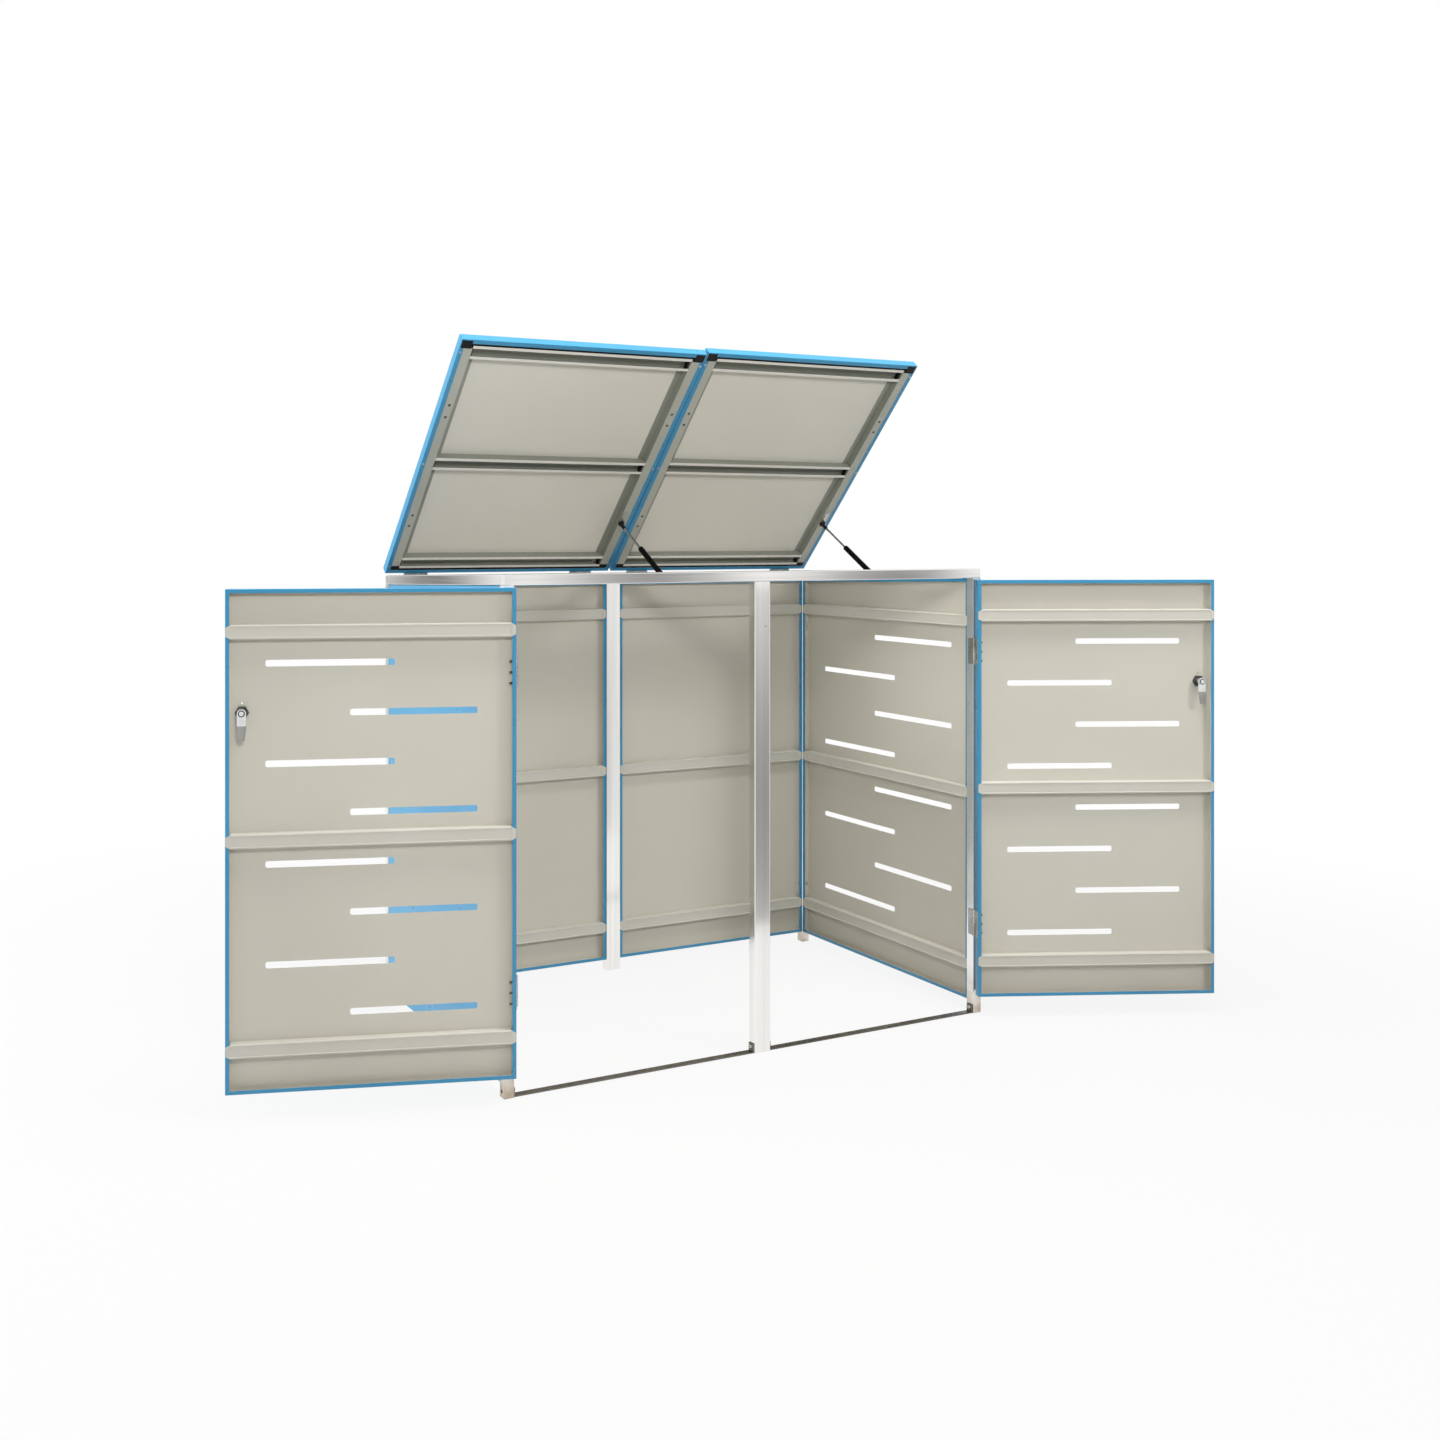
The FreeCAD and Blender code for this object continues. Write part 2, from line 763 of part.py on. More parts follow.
def side_member(edge, direction, hole_reaches):
    """A Z section along one side of a lid: flange under the lip, wall and foot on the skin."""
    low, high = lid_inner_levels()
    start = edge + direction * sheet
    wall = edge + direction * (lid_lip + side_member_plane)
    foot = wall + direction * side_member_foot
    y0, y1 = lid_member_ends()
    points = [
        (start, y0, low),
        (wall, y0, low),
        (wall, y0, high - member_sheet),
        (foot, y0, high - member_sheet),
        (foot, y0, high),
        (wall - direction * member_sheet, y0, high),
        (wall - direction * member_sheet, y0, low + member_sheet),
        (start, y0, low + member_sheet),
    ]
    member = polygon(points).extrude(Vector(0, y1 - y0, 0))
    x = edge + direction * (lid_lip + side_member_plane / 2)
    for reach in hole_reaches:
        for y in (-reach - flange_hole_spacing / 2, -reach + flange_hole_spacing / 2):
            start = Vector(x, y, low - cut_margin)
            end = Vector(x, y, low + member_sheet + cut_margin)
            member = member.cut(rod(flange_hole_radius, start, end))
    return member


def cross_member(centre_y):
    """A lipped channel across a lid, open downwards, between the side members."""
    low, high = lid_inner_levels()
    start = lid_left + lid_lip + side_member_plane
    end = lid_right - lid_lip - side_member_plane
    half = cross_member_width / 2
    past_ends = (start - cut_margin, end + cut_margin)
    outer = block((start, end), (centre_y - half, centre_y + half), (low, high))
    inner = block(
        past_ends,
        (centre_y - half + member_sheet, centre_y + half - member_sheet),
        (low + member_sheet, high - member_sheet),
    )
    mouth = block(
        past_ends,
        (centre_y - half + cross_member_lip, centre_y + half - cross_member_lip),
        (low - cut_margin, low + 2 * member_sheet),
    )
    channel = outer.cut(inner).cut(mouth)
    for foot_range in ((start, start + side_member_foot), (end - side_member_foot, end)):
        y_range = (centre_y - half - cut_margin, centre_y + half + cut_margin)
        channel = channel.cut(block(foot_range, y_range, (high - member_sheet, high + cut_margin)))
    return channel


def cross_member_centres():
    """Front, middle and back channels of a lid."""
    edge_distance = lid_lip + seal_width + cross_member_width / 2
    front = lid_front + edge_distance
    back = lid_back - edge_distance
    return front, (front + back) / 2, back


def lid_channels():
    channels = [
        side_member(lid_left, 1, (front_hole_reach, back_hole_reach)),
        side_member(lid_right, -1, (front_hole_reach,)),
    ]
    channels.extend(cross_member(centre_y) for centre_y in cross_member_centres())
    return channels


def lid_blocks():
    """Plastic plugs in the channel ends, and blocks in the lid's corners."""
    low, high = lid_inner_levels()
    blocks = front_corner_blocks()
    half = cross_member_width / 2 - member_sheet
    plug_z = (low + end_plug_recess, high - member_sheet)
    for edge, direction in ((lid_left, 1), (lid_right, -1)):
        wall = edge + direction * (lid_lip + side_member_plane)
        plug_x = sorted((wall, wall + direction * end_plug_length))
        for centre_y in cross_member_centres():
            y_range = (centre_y - half, centre_y + half)
            blocks.append(block(plug_x, y_range, plug_z))
        corner_x = sorted((edge + direction * lid_lip, wall))
        corner_y = (lid_member_ends()[1], lid_back - lid_lip)
        blocks.append(block(corner_x, corner_y, (low, high)))
    return blocks


def lid_seals():
    """Rubber strips between the lips and the front and back channels."""
    x_range = (lid_left + lid_lip + side_member_plane, lid_right - lid_lip - side_member_plane)
    z_range = (lid_underside, lid_underside + seal_height)
    seals = []
    for y_edge, y_direction in ((lid_front, 1), (lid_back, -1)):
        first = y_edge + y_direction * lid_lip
        y_range = sorted((first, first + y_direction * seal_width))
        seals.append(block(x_range, y_range, z_range))
    return seals


def rivet_head(seat):
    """A low dome under the lip at the seat."""
    ball_radius = (rivet_radius ** 2 + rivet_height ** 2) / (2 * rivet_height)
    ball = Part.makeSphere(ball_radius, seat + Z_AXIS * (ball_radius - rivet_height))
    band = block(
        (seat.x - rivet_radius, seat.x + rivet_radius),
        (seat.y - rivet_radius, seat.y + rivet_radius),
        (seat.z - rivet_height, seat.z),
    )
    return ball.common(band)


def lid_rivets():
    """Rivet heads on the lips, beside the ends of the three channels."""
    rivets = []
    middle = cross_member_centres()[1]
    for x in (lid_left + lid_lip / 2, lid_right - lid_lip / 2):
        for y in (lid_front + rivet_front_margin, middle, lid_back - rivet_back_margin):
            rivets.append(rivet_head(Vector(x, y, lid_underside)))
    return rivets


def lid_hinges():
    """A lid's two hinges in the closed place: fixed leaves, moving leaves and pins."""
    fixed, moving, pin = hinge_pair(lid_hinge_leaf_reach, 2 * lid_pivot_behind)
    moving = turned(moving, 180)
    lying = FreeCAD.Rotation(Y_AXIS, -Z_AXIS, -X_AXIS, "XYZ")
    groups = ([], [], [])
    for x in (lid_left + lid_hinge_margin, lid_right - lid_hinge_margin):
        place = FreeCAD.Placement(Vector(x, 0, 0), lying)
        for group, shape in zip(groups, (fixed, moving, pin)):
            group.append(shape.transformed(place.toMatrix()))
    return groups


def stud_place():
    """The strut's upper pivot, in the closed lid's own frame."""
    return Vector(lid_right - strut_edge_distance, -strut_stud_reach, -strut_stud_drop)


def lid_strut_bracket():
    """A tab under the right-hand flange with an ear for the strut, its nut and its screws."""
    low = lid_underside + sheet
    stud = stud_place()
    plate_low = low - bracket_plate_sheet
    plate = block(
        (lid_right - bracket_plate_inner, lid_right - bracket_plate_outer),
        (stud.y - bracket_plate_front, stud.y + bracket_plate_back),
        (plate_low, low),
    )
    ear_inner = stud.x + strut_eye_width / 2 + strut_side_gap
    ear_outer = ear_inner + bracket_sheet
    ear = block(
        (ear_inner, ear_outer),
        (stud.y - bracket_ear_half_width, stud.y + bracket_ear_half_width),
        (stud.z - bracket_ear_below, low),
    )
    nut_face = Vector(ear_outer, stud.y, stud.z)
    nut = rod(stud_nut_radius, nut_face - X_AXIS * bracket_sheet / 2, nut_face + X_AXIS * stud_nut_height)
    pieces = [plate, ear, nut]
    for place in bracket_screw_places:
        seat = Vector(lid_right - bracket_screw_edge, stud.y - place, low)
        head_top = Vector(seat.x, seat.y, plate_low - bracket_screw_height)
        pieces.append(rod(bracket_screw_radius, head_top, seat))
    return fused(pieces)


def strut_base(shift_x):
    """The strut's lower pivot in the store's frame."""
    y = lid_pivot.y - strut_base_forward
    z = lid_pivot.z - strut_base_drop
    return Vector(lid_right - strut_edge_distance + shift_x, y, z)


def strut_reach(opening):
    """Length and slope of a strut, from its base to its stud, for a lid angle in degrees."""
    stud = turned_point(stud_place(), -opening)
    rise = stud.z + strut_base_drop
    run = stud.y + strut_base_forward
    return math.hypot(run, rise), math.degrees(math.atan2(rise, run))


def turned_point(point, angle):
    """A point turned about the lid hinge's axis."""
    turn = math.radians(angle)
    y = point.y * math.cos(turn) - point.z * math.sin(turn)
    z = point.y * math.sin(turn) + point.z * math.cos(turn)
    return Vector(point.x, y, z)


def strut_parts(opening):
    """A strut along +Y from its base at the origin: cylinder, rod and socket."""
    length, slope = strut_reach(opening)
    half_eye = strut_eye_width / 2

    def along(distance):
        return Y_AXIS * distance

    def eye(radius, distance):
        return rod(radius, along(distance) - X_AXIS * half_eye, along(distance) + X_AXIS * half_eye)

    tube = rod(strut_tube_radius, along(strut_tube_start), along(strut_tube_end))
    tube = tube.makeFillet(strut_tube_rounding, end_edges(tube))
    neck = rod(strut_neck_radius, along(0), along(strut_tube_start))
    cylinder = fused([eye(strut_eye_radius, 0), neck, tube])
    cylinder = cylinder.cut(eye(strut_pin_radius + strut_running_gap, 0))
    bore_end = along(strut_tube_end + cut_margin)
    bore = rod(strut_rod_radius + strut_running_gap, along(strut_bore_start), bore_end)
    cylinder = cylinder.cut(bore)

    rod_end = length - strut_socket_length + strut_socket_grip
    piston = rod(strut_rod_radius, along(strut_tube_end - strut_rod_inside), along(rod_end))
    socket = fused([
        rod(strut_socket_radius, along(length - strut_socket_length), along(length)),
        eye(strut_eye_radius, length),
    ])
    socket = socket.cut(piston)
    turned_parts = []
    for shape in (cylinder, piston, socket):
        turned_parts.append(turned(shape, slope, ORIGIN, X_AXIS))
    return turned_parts


def end_edges(cylinder):
    """The two round edges of a plain cylinder."""
    return [edge for edge in cylinder.Edges if edge.isClosed()]


def rail_bracket(base, rail_face):
    """A round plate on a rail's side with the pin that carries a strut's lower eye."""
    plate_inner = rail_face - bracket_sheet
    eye_near = base.x + strut_eye_width / 2 + strut_side_gap
    eye_far = base.x - strut_eye_width / 2 - strut_side_gap

    def at(x):
        return Vector(x, base.y, base.z)

    return fused([
        rod(rail_plate_radius, at(plate_inner), at(rail_face)),
        rod(strut_boss_radius, at(eye_near), at(rail_face)),
        rod(strut_pin_radius, at(eye_far), at(rail_face)),
        rod(strut_pin_cap_radius, at(eye_far - strut_pin_cap_height), at(eye_far)),
    ])


def swing_left_door(shape):
    return turned(shape, -left_door_open, door_pivot)


def swing_right_door(shape):
    """The left door's closed piece mirrored to the right bay and swung open."""
    pivot = Vector(-door_pivot.x, door_pivot.y, 0)
    return turned(mirrored(shape), right_door_open, pivot)


def raise_left_lid(shape):
    return moved(turned(shape, -left_lid_open, ORIGIN, X_AXIS), lid_pivot)


def raise_right_lid(shape):
    return moved(turned(shape, -right_lid_open, ORIGIN, X_AXIS), lid_pivot + lid_shift)


def keep_frame():
    corner_post, mid_post = front_posts()
    keep("front_left_post", corner_post)
    keep("front_mid_post", mid_post)
    keep("front_right_post", mirrored(corner_post))
    corner_post, mid_post = back_posts()
    keep("back_left_post", corner_post)
    keep("back_mid_post", mid_post)
    keep("back_right_post", mirrored(corner_post))
    keep("foot_plugs", *foot_plugs())
    keep("front_beam", cross_beam((-half_post, half_post), front_height))
    keep("back_beam", cross_beam((rail_back, back_face), back_height))
    side_rail = sloped_rail((-half_width, bay_left))
    keep("left_side_rail", side_rail)
    keep("right_side_rail", mirrored(side_rail))
    keep("mid_rail", sloped_rail((-half_mid_post, half_mid_post)))
    strip = floor_strip()
    keep("floor_strips", strip, mirrored(strip))
    bolts = floor_strip_bolts()
    keep("floor_strip_bolts", *bolts, *[mirrored(bolt) for bolt in bolts])


def keep_fixed_panels():
    side, side_rails, side_screws = side_panel()
    back, back_rails, back_screws = back_panel()
    keep("left_side_panel", side)
    keep("right_side_panel", mirrored(side))
    keep("left_back_panel", back)
    keep("right_back_panel", mirrored(back))
    rails = side_rails + back_rails
    keep("fixed_panel_rails", *rails, *[mirrored(rail) for rail in rails])
    screws = side_screws + back_screws
    keep("fixed_panel_screws", *screws, *[mirrored(screw) for screw in screws])


def keep_doors():
    panel = door_tray()
    rails = door_stiffeners()
    barrel, nut = lock_fixed_parts()
    plug, cam = lock_turning_parts()
    fixed_leaves, moving_leaves, pins = door_hinges()
    for side, swing in (("left", swing_left_door), ("right", swing_right_door)):
        keep(f"{side}_door", swing(panel))
        keep(f"{side}_door_rails", *[swing(rail) for rail in rails])
        keep(f"{side}_door_hinge_leaves", *[swing(leaf) for leaf in moving_leaves])
        keep(f"{side}_lock_barrel", swing(barrel))
        keep(f"{side}_lock_nut", swing(nut))
        keep(f"{side}_lock_plug", swing(plug))
        keep(f"{side}_lock_cam", swing(cam))
    keep("post_hinge_leaves", *fixed_leaves, *[mirrored(leaf) for leaf in fixed_leaves])
    keep("door_hinge_pins", *pins, *[mirrored(pin) for pin in pins])


def keep_lids():
    skin = lid_skin()
    channels = lid_channels()
    blocks = lid_blocks()
    seals = lid_seals()
    rivets = lid_rivets()
    bracket = lid_strut_bracket()
    fixed_leaves, moving_leaves, pins = lid_hinges()
    for side, raise_lid in (("left", raise_left_lid), ("right", raise_right_lid)):
        keep(f"{side}_lid", raise_lid(skin))
        keep(f"{side}_lid_channels", *[raise_lid(channel) for channel in channels])
        keep(f"{side}_lid_blocks", *[raise_lid(piece) for piece in blocks])
        keep(f"{side}_lid_seals", *[raise_lid(seal) for seal in seals])
        keep(f"{side}_lid_rivets", *[raise_lid(rivet) for rivet in rivets])
        keep(f"{side}_lid_strut_bracket", raise_lid(bracket))
        keep(f"{side}_lid_hinge_leaves", *[raise_lid(leaf) for leaf in moving_leaves])
    places = (lid_pivot, lid_pivot + lid_shift)
    keep("beam_hinge_leaves", *[moved(leaf, place) for place in places for leaf in fixed_leaves])
    keep("lid_hinge_pins", *[moved(pin, place) for place in places for pin in pins])


def keep_struts():
    brackets = []
    left_rail_face = -half_mid_post
    right_rail_face = half_width - post_size
    for side, opening, shift_x, rail_face in (
        ("left", left_lid_open, 0, left_rail_face),
        ("right", right_lid_open, lid_shift.x, right_rail_face),
    ):
        base = strut_base(shift_x)
        cylinder, piston, socket = strut_parts(opening)
        keep(f"{side}_strut_cylinder", moved(cylinder, base))
        keep(f"{side}_strut_rod", moved(piston, base))
        keep(f"{side}_strut_socket", moved(socket, base))
        brackets.append(rail_bracket(base, rail_face))
    keep("rail_strut_brackets", *brackets)


def main():
    keep_frame()
    keep_fixed_panels()
    keep_doors()
    keep_lids()
    keep_struts()
    os.makedirs("parts", exist_ok=True)
    for name, shape in nodes.items():
        shape.exportStep(f"parts/{name}.step")
        print(name, len(shape.Solids), shape.isValid())
    closed = math.degrees(math.atan(roof_slope))
    for side, opening in (("left", left_lid_open), ("right", right_lid_open)):
        open_length, open_slope = strut_reach(opening)
        shut_length, shut_slope = strut_reach(closed)
        travel = math.radians(opening - closed)
        print(side, "lid travel", opening - closed)
        print(side, "strut base", strut_base(0 if side == "left" else lid_shift.x), "slope", open_slope)
        print(side, "strut turn ratio", math.radians(open_slope - shut_slope) / travel)
        print(side, "strut slide ratio", (open_length - shut_length) / travel / 1000)


if __name__ == "__main__":
    main()
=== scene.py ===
import json
import math

import bmesh
import bpy
from mathutils import Matrix, Vector
from mathutils.bvhtree import BVHTree


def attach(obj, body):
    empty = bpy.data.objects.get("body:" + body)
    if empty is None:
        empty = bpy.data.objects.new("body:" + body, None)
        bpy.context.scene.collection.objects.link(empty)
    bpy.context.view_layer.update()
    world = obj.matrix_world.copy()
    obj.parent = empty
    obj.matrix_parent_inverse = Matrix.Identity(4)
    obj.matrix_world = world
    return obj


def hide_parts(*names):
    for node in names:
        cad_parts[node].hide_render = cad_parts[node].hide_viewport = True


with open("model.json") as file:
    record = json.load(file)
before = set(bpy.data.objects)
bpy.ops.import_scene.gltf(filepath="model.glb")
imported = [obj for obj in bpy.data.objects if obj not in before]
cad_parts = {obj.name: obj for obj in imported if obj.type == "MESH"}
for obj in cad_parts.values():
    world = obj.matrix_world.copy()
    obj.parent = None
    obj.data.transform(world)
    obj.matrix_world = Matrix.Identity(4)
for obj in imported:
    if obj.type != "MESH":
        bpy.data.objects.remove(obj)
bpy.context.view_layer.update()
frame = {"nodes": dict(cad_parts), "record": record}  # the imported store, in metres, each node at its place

nodes = frame["nodes"]
bodyOf = {}
for bodyName, members in frame["record"]["behaviour"]["bodies"].items():
    for member in members:
        bodyOf[member] = bodyName

mm = 0.001

# Places of the moving pieces, from the closed store to how it stands here
motion = {
    "doorPivot": (-662.5, -17.0, 0.0),
    "leftDoorOpen": 197.0,
    "rightDoorOpen": 157.0,
    "lidPivot": (0.0, 772.5, 1150.0),
    "lidShift": 694.0,
    "leftLidOpen": 46.5,
    "rightLidOpen": 47.2,
}


def millimetres(*values):
    return Vector(values) * mm


def turnAbout(point, degrees, axis):
    place = Matrix.Translation(point)
    return place @ Matrix.Rotation(math.radians(degrees), 4, axis) @ place.inverted()


doorPivot = millimetres(*motion["doorPivot"])
otherPivot = Vector((-doorPivot.x, doorPivot.y, 0))
lidPivot = millimetres(*motion["lidPivot"])
acrossPlane = Matrix.Scale(-1, 4, Vector((1, 0, 0)))
atRest = {
    "frame": Matrix.Identity(4),
    "left_door": turnAbout(doorPivot, -motion["leftDoorOpen"], "Z"),
    "right_door": turnAbout(otherPivot, motion["rightDoorOpen"], "Z") @ acrossPlane,
    "left_lid": Matrix.Translation(lidPivot) @ Matrix.Rotation(math.radians(-motion["leftLidOpen"]), 4, "X"),
    "right_lid": Matrix.Translation(lidPivot + millimetres(motion["lidShift"], 0, 0))
    @ Matrix.Rotation(math.radians(-motion["rightLidOpen"]), 4, "X"),
}
for side in ("left", "right"):
    atRest[f"{side}_lock"] = atRest[f"{side}_door"]


# Camera, fitted to the corners of the frame, doors and lids
cameraSettings = {
    "place": (-2.0330, -2.97952, 1.25276),
    "turnedRight": 25.84,
    "focalPixels": 1461.86,
    "centrePixel": (541.99, 537.19),
    "imageSide": 1440,
    "sensor": 36.0,
}


def setUpCamera(settings):
    side = settings["imageSide"]
    data = bpy.data.cameras.new("Camera")
    data.sensor_width = settings["sensor"]
    data.lens = settings["sensor"] * settings["focalPixels"] / side
    data.shift_x = (side / 2 - settings["centrePixel"][0]) / side
    data.shift_y = (settings["centrePixel"][1] - side / 2) / side
    data.clip_end = 100
    camera = bpy.data.objects.new("Camera", data)
    camera.location = settings["place"]
    camera.rotation_euler = (math.radians(90), 0, math.radians(-settings["turnedRight"]))
    bpy.context.scene.collection.objects.link(camera)
    bpy.context.scene.camera = camera


setUpCamera(cameraSettings)
bpy.context.scene.view_settings.view_transform = "Standard"
print("camera ready")


# Helpers for the shader trees
def link(tree, output, target):
    tree.links.new(output, target)


def newNode(tree, kind, inputs=None, **settings):
    # a node with its properties set, then its inputs linked or given a value
    node = tree.nodes.new(kind)
    for name, value in settings.items():
        setattr(node, name, value)
    for label, value in (inputs or {}).items():
        if isinstance(value, bpy.types.NodeSocket):
            link(tree, value, node.inputs[label])
        else:
            node.inputs[label].default_value = value
    return node


def mathNode(tree, operation, first, second, clamp=False):
    node = newNode(tree, "ShaderNodeMath", {0: first, 1: second}, operation=operation, use_clamp=clamp)
    return node.outputs[0]


def mixColours(tree, factor, first, second):
    return newNode(tree, "ShaderNodeMix", {0: factor, 6: first, 7: second}, data_type="RGBA").outputs[2]


def spread(tree, value, low, high, fromLow=0.0, fromHigh=1.0):
    limits = {"Value": value, "From Min": fromLow, "From Max": fromHigh, "To Min": low, "To Max": high}
    return newNode(tree, "ShaderNodeMapRange", limits).outputs["Result"]


def linear(red, green, blue):
    # colour written as 0 to 255, as a picture shows it
    values = []
    for part in (red, green, blue):
        part = part / 255
        values.append(part / 12.92 if part <= 0.04045 else ((part + 0.055) / 1.055) ** 2.4)
    return (*values, 1.0)


def noiseFrom(tree, coordinates, scale, detail, **more):
    values = {"Vector": coordinates, "Scale": scale, "Detail": detail, **more}
    return newNode(tree, "ShaderNodeTexNoise", values).outputs[0]


def newGroup(name, values, *results):
    # takes coordinates and numbers, gives numbers
    tree = bpy.data.node_groups.new(name, "ShaderNodeTree")
    tree.interface.new_socket("Coordinates", in_out="INPUT", socket_type="NodeSocketVector")
    for label, value in values.items():
        socket = tree.interface.new_socket(label, in_out="INPUT", socket_type="NodeSocketFloat")
        socket.default_value = value
    for label in results:
        tree.interface.new_socket(label, in_out="OUTPUT", socket_type="NodeSocketFloat")
    return tree, newNode(tree, "NodeGroupInput").outputs, newNode(tree, "NodeGroupOutput").inputs


# Effects that several materials share
def coatSkinGroup():
    scales = {"Peel Scale": 900.0, "Drift Scale": 2.4}
    tree, given, made = newGroup("Coat skin", scales, "Height", "Drift", "Gloss")
    coordinates = given["Coordinates"]
    link(tree, noiseFrom(tree, coordinates, given["Peel Scale"], 2.0), made["Height"])
    link(tree, noiseFrom(tree, coordinates, given["Drift Scale"], 4.0, Roughness=0.45), made["Drift"])
    link(tree, noiseFrom(tree, coordinates, 14.0, 5.0), made["Gloss"])
    return tree


def edgeWearGroup():
    tree, given, made = newGroup("Edge wear", {"Radius": 0.0007, "Amount": 0.5}, "Mask")
    rounded = newNode(tree, "ShaderNodeBevel", {"Radius": given["Radius"]}, samples=4).outputs[0]
    normal = newNode(tree, "ShaderNodeNewGeometry").outputs["Normal"]
    facing = newNode(tree, "ShaderNodeVectorMath", {0: rounded, 1: normal}, operation="DOT_PRODUCT")
    bend = mathNode(tree, "SUBTRACT", 1.0, facing.outputs["Value"])
    broken = spread(tree, noiseFrom(tree, given["Coordinates"], 160.0, 6.0), 0.0, 1.0, 0.42, 0.66)
    worn = mathNode(tree, "MULTIPLY", spread(tree, bend, 0.0, 1.0, 0.02, 0.22), broken)
    link(tree, mathNode(tree, "MULTIPLY", worn, given["Amount"], clamp=True), made["Mask"])
    return tree


def brushedGrainGroup():
    tree, given, made = newGroup("Brushed grain", {"Line Scale": 1.0}, "Height", "Streak", "Haze")
    for label, share, detail in (("Height", 1.0, 3.0), ("Streak", 0.22, 2.0), ("Haze", 0.035, 4.0)):
        scale = mathNode(tree, "MULTIPLY", given["Line Scale"], share)
        link(tree, noiseFrom(tree, given["Coordinates"], scale, detail), made[label])
    return tree


def dustGroup():
    tree, given, made = newGroup("Dust film", {"Amount": 0.2}, "Mask")
    normal = newNode(tree, "ShaderNodeNewGeometry").outputs["Normal"]
    upward = newNode(tree, "ShaderNodeSeparateXYZ", {0: normal}).outputs["Z"]
    cloud = spread(tree, noiseFrom(tree, given["Coordinates"], 22.0, 6.0), 0.25, 1.0, 0.35, 0.7)
    lying = mathNode(tree, "MULTIPLY", spread(tree, upward, 0.0, 1.0, 0.1, 1.0), cloud)
    link(tree, mathNode(tree, "MULTIPLY", lying, given["Amount"], clamp=True), made["Mask"])
    return tree


coatSkin = coatSkinGroup()
edgeWear = edgeWearGroup()
brushedGrain = brushedGrainGroup()
dustFilm = dustGroup()


def putGroup(tree, group, coordinates, **values):
    given = {name.replace("_", " "): value for name, value in values.items()}
    return newNode(tree, "ShaderNodeGroup", {"Coordinates": coordinates, **given}, node_tree=group)


def newMaterial(name):
    material = bpy.data.materials.new(name)
    material.use_nodes = True
    return material, material.node_tree


def startMaterial(name, stretch=(1, 1, 1), **fixedValues):
    material, tree = newMaterial(name)
    shader = tree.nodes["Principled BSDF"]
    for label, value in fixedValues.items():
        shader.inputs[label.replace("_", " ")].default_value = value
    place = newNode(tree, "ShaderNodeTexCoord").outputs["Object"]
    mapping = newNode(tree, "ShaderNodeMapping", {"Vector": place, "Scale": stretch})
    return material, tree, shader, mapping.outputs["Vector"]


def bumpFrom(tree, shader, height, distance, strength):
    bump = newNode(tree, "ShaderNodeBump", {"Strength": strength, "Distance": distance, "Height": height})
    link(tree, bump.outputs["Normal"], shader.inputs["Normal"])


def wornAndDusty(tree, colour, coordinates, settings):
    for group, amount, shown in ((edgeWear, "wear", "worn"), (dustFilm, "dust", "dustColour")):
        mask = putGroup(tree, group, coordinates, Amount=settings[amount]).outputs["Mask"]
        colour = mixColours(tree, mask, colour, linear(*settings[shown]))
    return colour


